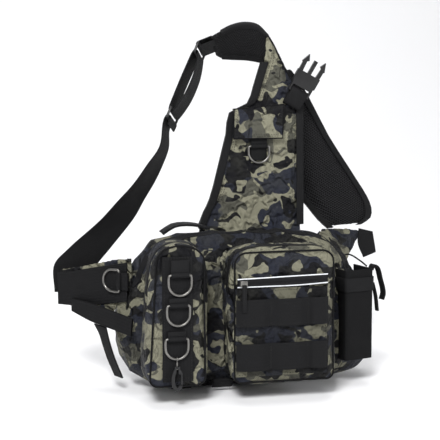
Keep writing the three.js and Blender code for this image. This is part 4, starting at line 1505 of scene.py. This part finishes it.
class BAG_OT_strap(bpy.types.Operator):
    """Arching strap, slides and long webbing"""

    bl_idname = "sling_bag.strap"
    bl_label = "Shoulder strap"

    def execute(self, context):
        fold_hole = 2.2 + 0.4
        bar = UPPER_SLIDE + SLIDE_UP * SLIDE_HALF
        arch = strip("arch_strap_mesh", ARCH_ROWS, 10, padded_cut(1.8, 3.3, 7))
        folded(arch, sizes().fold * 0.5, size=0.03, seed=44.0)
        worn(arch, "mesh_strap", "arch_strap", name="arch_strap_padding")
        leave = square((0.9, -0.02, 0.25), SLIDE_ACROSS)
        side = SLIDE_ACROSS.cross(leave)
        tab = []
        for out, up in [(1, 1), (1, 0.5)]:
            tab.append((fold_hole + 0.8, 20 * up))
        tab += arc(0, 0, fold_hole + 0.8, 0, -180, 8) + [(-fold_hole - 0.8, 10), (-fold_hole - 0.8, 19)]
        rows = []
        for out, up in tab:
            middle = bar + leave * up + side * out
            rows.append((middle - SLIDE_ACROSS * 19, middle + SLIDE_ACROSS * 19))
        worn(strip("arch_strap_fold", rows, 2, woven(1.6)), "webbing")
        for node, part, edge in (
            ("arch_binding_upper", ARCH_ROWS[0:5], "a"),
            ("arch_binding_lower", ARCH_ROWS[1:5], "b"),
        ):
            worn(strip(node + "_tape", part, 10, bound(1.8, 6, edge)), "tape", node)
        for node in ("upper_slide", "lower_slide"):
            worn(finished(node, 0.9, 3, 50), "plastic", node, name=node + "_moulding")
        top = UPPER_SLIDE - SLIDE_UP * SLIDE_HALF
        end = LOWER_SLIDE + SLIDE_UP * SLIDE_HALF
        long = (top - end).length
        rows = (
            turn_round(top, 0)
            + [from_bar(top, -long * share, -4.5) for share in (0.3, 0.7)]
            + turn_round(end, 180)
            + [from_bar(top, -long * share, 9) for share in (0.7, 0.3)]
        )
        worn(strip("strap_loop_web", rows, 6, woven(1.6), True), "webbing", "webbing_loop")
        bar = LOWER_SLIDE - SLIDE_UP * SLIDE_HALF
        rows = [
            from_bar(bar, -8, 3.2),
            *turn_round(bar, 0),
            from_bar(bar, -9, -3),
            ((-101.5, 106, 293), (-84, 138, 288)),
            ((-118, 110, 268), (-92, 142, 264)),
            ((-136, 116, 242), (-102, 146, 242)),
            ((-157, 120, 219), (-116, 146, 219)),
            ((-178, 124, 196), (-129.6, 144, 196)),
            ((-221, 130, 158), (-164, 130, 158)),
            ((-240, 131, 137), (-186, 130, 132)),
            ((-240, 133, 100), (-206, 131, 100)),
        ]
        worn(strip("shoulder_web", rows, 8, woven(1.6, parts=8)), "webbing", "shoulder_webbing")
        return {"FINISHED"}


class BAG_OT_pad(bpy.types.Operator):
    """Curved back pad of spacer mesh with bound edges"""

    bl_idname = "sling_bag.pad"
    bl_label = "Back pad"

    def execute(self, context):
        pad = padded_cloth(copy_of("back_pad"), 2.6, sizes().fold * 0.7, cap=0.0018, size=0.04, seed=51.0)
        worn(pad, "mesh", "back_pad", name="back_pad_padding")
        for side in ("outer", "inner"):
            node = f"pad_binding_{side}"
            worn(finished(node, 0.6, 3, 60), "tape", node, name=node + "_tape")
        return {"FINISHED"}


class BAG_OT_fittings(bpy.types.Operator):
    """Grab handle, keepers under the hem and the loose buckle half"""

    bl_idname = "sling_bag.fittings"
    bl_label = "Handle and buckle"

    def execute(self, context):
        worn(finished("grab_handle", 0.7, 3, 60), "tape", "grab_handle", name="grab_handle_web")
        for i in (1, 2):
            node = f"base_keeper_{i}"
            worn(finished(node, 0.6, 2), "tape", node, name=node + "_web")
        worn(finished("buckle_male", 0.9, 3, 50), "plastic", "buckle_male", name="buckle_moulding")
        worn(finished("buckle_webbing", 0.4, 2, 60), "tape", "buckle_webbing", name="buckle_web")
        return {"FINISHED"}


# Stitching

YOKE_EDGES = {
    "left": ((205, -44.5), (222, -36), (260, -25), (302, -14.5)),
    "left_top": ((350, 16.5), (370, 24.5), (402, 34.5), (425, 37.6)),
    "right": ((200, 88), (260, 88), (308, 88), (336, 88), (352, 87)),
}
FLAP = ((-8, 302), (59, 302), (60.5, 347), (-7.5, 341.5))
FLAP_FACE = 81.7


def inside(corners, inset):
    """A four-sided outline drawn in by inset, as a closed list of points."""
    middle = Vector((sum(c[0] for c in corners) / 4, sum(c[1] for c in corners) / 4))
    ring = []
    for x, z in corners:
        ring.append((x + math.copysign(inset, middle.x - x), z + math.copysign(inset, middle.y - z)))
    return ring + ring[:1]


class BAG_OT_stitching(bpy.types.Operator):
    """Stitch rows on the yoke, the flap, the pockets and the webbing"""

    bl_idname = "sling_bag.stitching"
    bl_label = "Stitching"

    def execute(self, context):
        front = Vector((0, -1, 0))

        def flat_run(points, y):
            return [(Vector((x, y, z)), front) for x, z in points]

        yoke = surface(bpy.data.objects["yoke_cloth"])
        runs = []
        for key, edge in YOKE_EDGES.items():
            for inset in (10.5, 13.5):
                way = -inset if key == "right" else inset
                line = run_through([Vector((x + way, 0, z)) for z, x in edge], 10)
                runs.append(from_front(yoke, line))
        stitched("yoke_stitches", runs)
        edge = ((88, 96, 352), (83, 96.5, 370), (65, 97, 402), (46.5, 98, 436))
        line = run_through([Vector(p) for p in edge], 12)
        line = on_surface(yoke, [p + Vector((3, 0, 1)) for p in line], 0.6)
        worn(cord_round("yoke_edge_upper", line, 1.5, 8), "tape")
        runs = [flat_run(inside(FLAP, inset), FLAP_FACE) for inset in (3, 5.2)]
        stitched("flap_stitches", runs)
        edge = [Vector((x, FLAP_FACE + 0.2, z)) for x, z in inside(FLAP, 0.4)[:4]]
        rim = [a.lerp(b, k / 8) for a, b in zip(edge, edge[1:] + edge[:1]) for k in range(8)]
        worn(cord_round("flap_edge", rim, 0.9, 8, True), "cloth")
        low, high = PANEL["low"], PANEL["high"]
        corners = ((PANEL["left"], low), (PANEL["right"], low), (PANEL["right"], high), (PANEL["left"], high))
        runs = [flat_run(inside(corners, 2.6), PANEL_FACE)]
        stitched("slash_pocket_stitches", runs)
        web = POUCH_WEB
        left, right = web["left"] + 2.5, web["left"] + web["wide"] - 2.5
        runs = [flat_run(((x, web["low"]), (x, web["high"])), POUCH_WEB_FACE) for x in (left, right)]
        for z in (web["low"] + 3, web["high"] - 3, 88, 129):
            runs += [flat_run(((left, z + k), (right, z + k)), POUCH_WEB_FACE) for k in (0, 1.6)]
        stitched("pouch_web_stitches", runs)
        runs = []
        face = PANEL_FACE - 0.4 - 0.8 - 0.75
        for low in (81, 26):
            for x in (-36.6, -35.2, 5.3, 6.7, 53.3, 54.7, 76.2, 77.6):
                runs.append(flat_run(((x, low + 2), (x, low + 32)), face))
        stitched("loop_stitches", runs, 1.9)
        stitched("wing_stitches", strip_runs(WING_WEB, 6, 5.2, (0.05, 0.95)))
        stitched("belt_stitches", strip_runs(BELT, 8, 3.1, (0.1, 0.9)))
        return {"FINISHED"}


# Stage


class BAG_OT_stage(bpy.types.Operator):
    """Pale floor with a curved backdrop, soft studio light and the camera"""

    bl_idname = "sling_bag.stage"
    bl_label = "Stage"

    def execute(self, context):
        floor_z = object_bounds()[0].z - 0.0006
        deselect()
        bpy.ops.mesh.primitive_plane_add(size=1, location=(0, 0, floor_z))
        floor = bpy.context.object
        floor.name = "studio_floor"
        floor.scale = (9, 4.5, 1)
        bpy.ops.object.transform_apply(location=True, rotation=True, scale=True)
        bpy.ops.object.mode_set(mode="EDIT")
        bpy.ops.mesh.select_all(action="DESELECT")
        bpy.ops.object.mode_set(mode="OBJECT")
        for edge in floor.data.edges:
            edge.select = all(floor.data.vertices[v].co.y > 1 for v in edge.vertices)
        bpy.ops.object.mode_set(mode="EDIT")
        bpy.ops.mesh.select_mode(type="EDGE")
        bpy.ops.mesh.extrude_region_move(TRANSFORM_OT_translate={"value": (0, 0, 4)})
        bpy.ops.mesh.select_all(action="DESELECT")
        bpy.ops.object.mode_set(mode="OBJECT")
        bend = floor.modifiers.new("sweep", "BEVEL")
        bend.width = 1.4
        bend.segments = 24
        apply_modifiers(floor)
        smooth(floor, 60)
        floor.data.materials.append(finish_of("floor"))
        floor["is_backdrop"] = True
        for name, spot, aim, wide, power in (
            ("key_light", (-0.9, -2.1, 1.5), (0, -0.05, -0.2), 0.8, 92),
            ("fill_light", (1.8, -1.7, 0.4), (0, -0.05, -0.2), 1.2, 22),
            ("top_light", (0.1, 0.3, 2.0), (0, 0, -0.2), 1.2, 34),
        ):
            light = bpy.data.lights.new(name, "AREA")
            light.size = wide
            light.energy = power
            lamp = bpy.data.objects.new(name, light)
            bpy.context.scene.collection.objects.link(lamp)
            lamp.location = spot
            lamp.rotation_mode = "QUATERNION"
            lamp.rotation_quaternion = (Vector(aim) - Vector(spot)).to_track_quat("-Z", "Y")
        world = bpy.data.worlds.new("studio")
        world.use_nodes = True
        world.node_tree.nodes["Background"].inputs[0].default_value = (0.97, 0.98, 1, 1)
        world.node_tree.nodes["Background"].inputs[1].default_value = 0.24
        context.scene.world = world
        context.scene.view_settings.view_transform = "Standard"
        aim_camera(context)
        return {"FINISHED"}


def aim_camera(context):
    """The camera at the photograph's angle: 14 degrees round to the bag's left, 7 degrees above it."""
    focal_pixels, picture = 1328, 440
    turn, lift = math.radians(14), math.radians(7)
    ahead = Vector((math.sin(turn) * math.cos(lift), math.cos(turn) * math.cos(lift), -math.sin(lift)))
    right = Vector((math.cos(turn), -math.sin(turn), 0))
    up = right.cross(ahead)
    view = (ahead - right * (29 / focal_pixels) - up * (8 / focal_pixels)).normalized()
    data = bpy.data.cameras.new("camera")
    data.sensor_width = 36
    data.lens = focal_pixels / picture * data.sensor_width
    camera = bpy.data.objects.new("camera", data)
    context.scene.collection.objects.link(camera)
    camera.location = (-0.4232, -1.7432, 0.0152)
    side = view.cross(up).normalized()
    top = side.cross(view)
    turned = Matrix((side, top, -view)).transposed().to_4x4()
    camera.matrix_world = Matrix.Translation(camera.location) @ turned
    context.scene.camera = camera


class BAG_PT_panel(bpy.types.Panel):
    """Sling bag tools"""

    bl_idname = "BAG_PT_panel"
    bl_label = "Sling bag"
    bl_space_type = "VIEW_3D"
    bl_region_type = "UI"
    bl_category = "Sling bag"

    def draw(self, context):
        for group in (context.scene.bag_sizes, context.scene.bag_colours):
            for key in group.__annotations__:
                self.layout.prop(group, key)
        for step in STEPS:
            self.layout.operator(step.bl_idname)


STEPS = (
    BAG_OT_body,
    BAG_OT_pouches,
    BAG_OT_rings,
    BAG_OT_slash_pocket,
    BAG_OT_holster,
    BAG_OT_wings,
    BAG_OT_yoke,
    BAG_OT_strap,
    BAG_OT_pad,
    BAG_OT_fittings,
    BAG_OT_stitching,
    BAG_OT_stage,
)
CLASSES = (BagSizes, BagColours, *STEPS, BAG_PT_panel)


def register():
    """Adds the classes and the scene's two groups of settings."""
    for item in CLASSES:
        bpy.utils.register_class(item)
    bpy.types.Scene.bag_sizes = PointerProperty(type=BagSizes)
    bpy.types.Scene.bag_colours = PointerProperty(type=BagColours)


def unregister():
    """Takes them away again."""
    del bpy.types.Scene.bag_colours
    del bpy.types.Scene.bag_sizes
    for item in reversed(CLASSES):
        bpy.utils.unregister_class(item)


def main():
    """Builds every piece in order."""
    register()
    for step in STEPS:
        group, name = step.bl_idname.split(".")
        getattr(getattr(bpy.ops, group), name)()


if __name__ == "__main__":
    main()
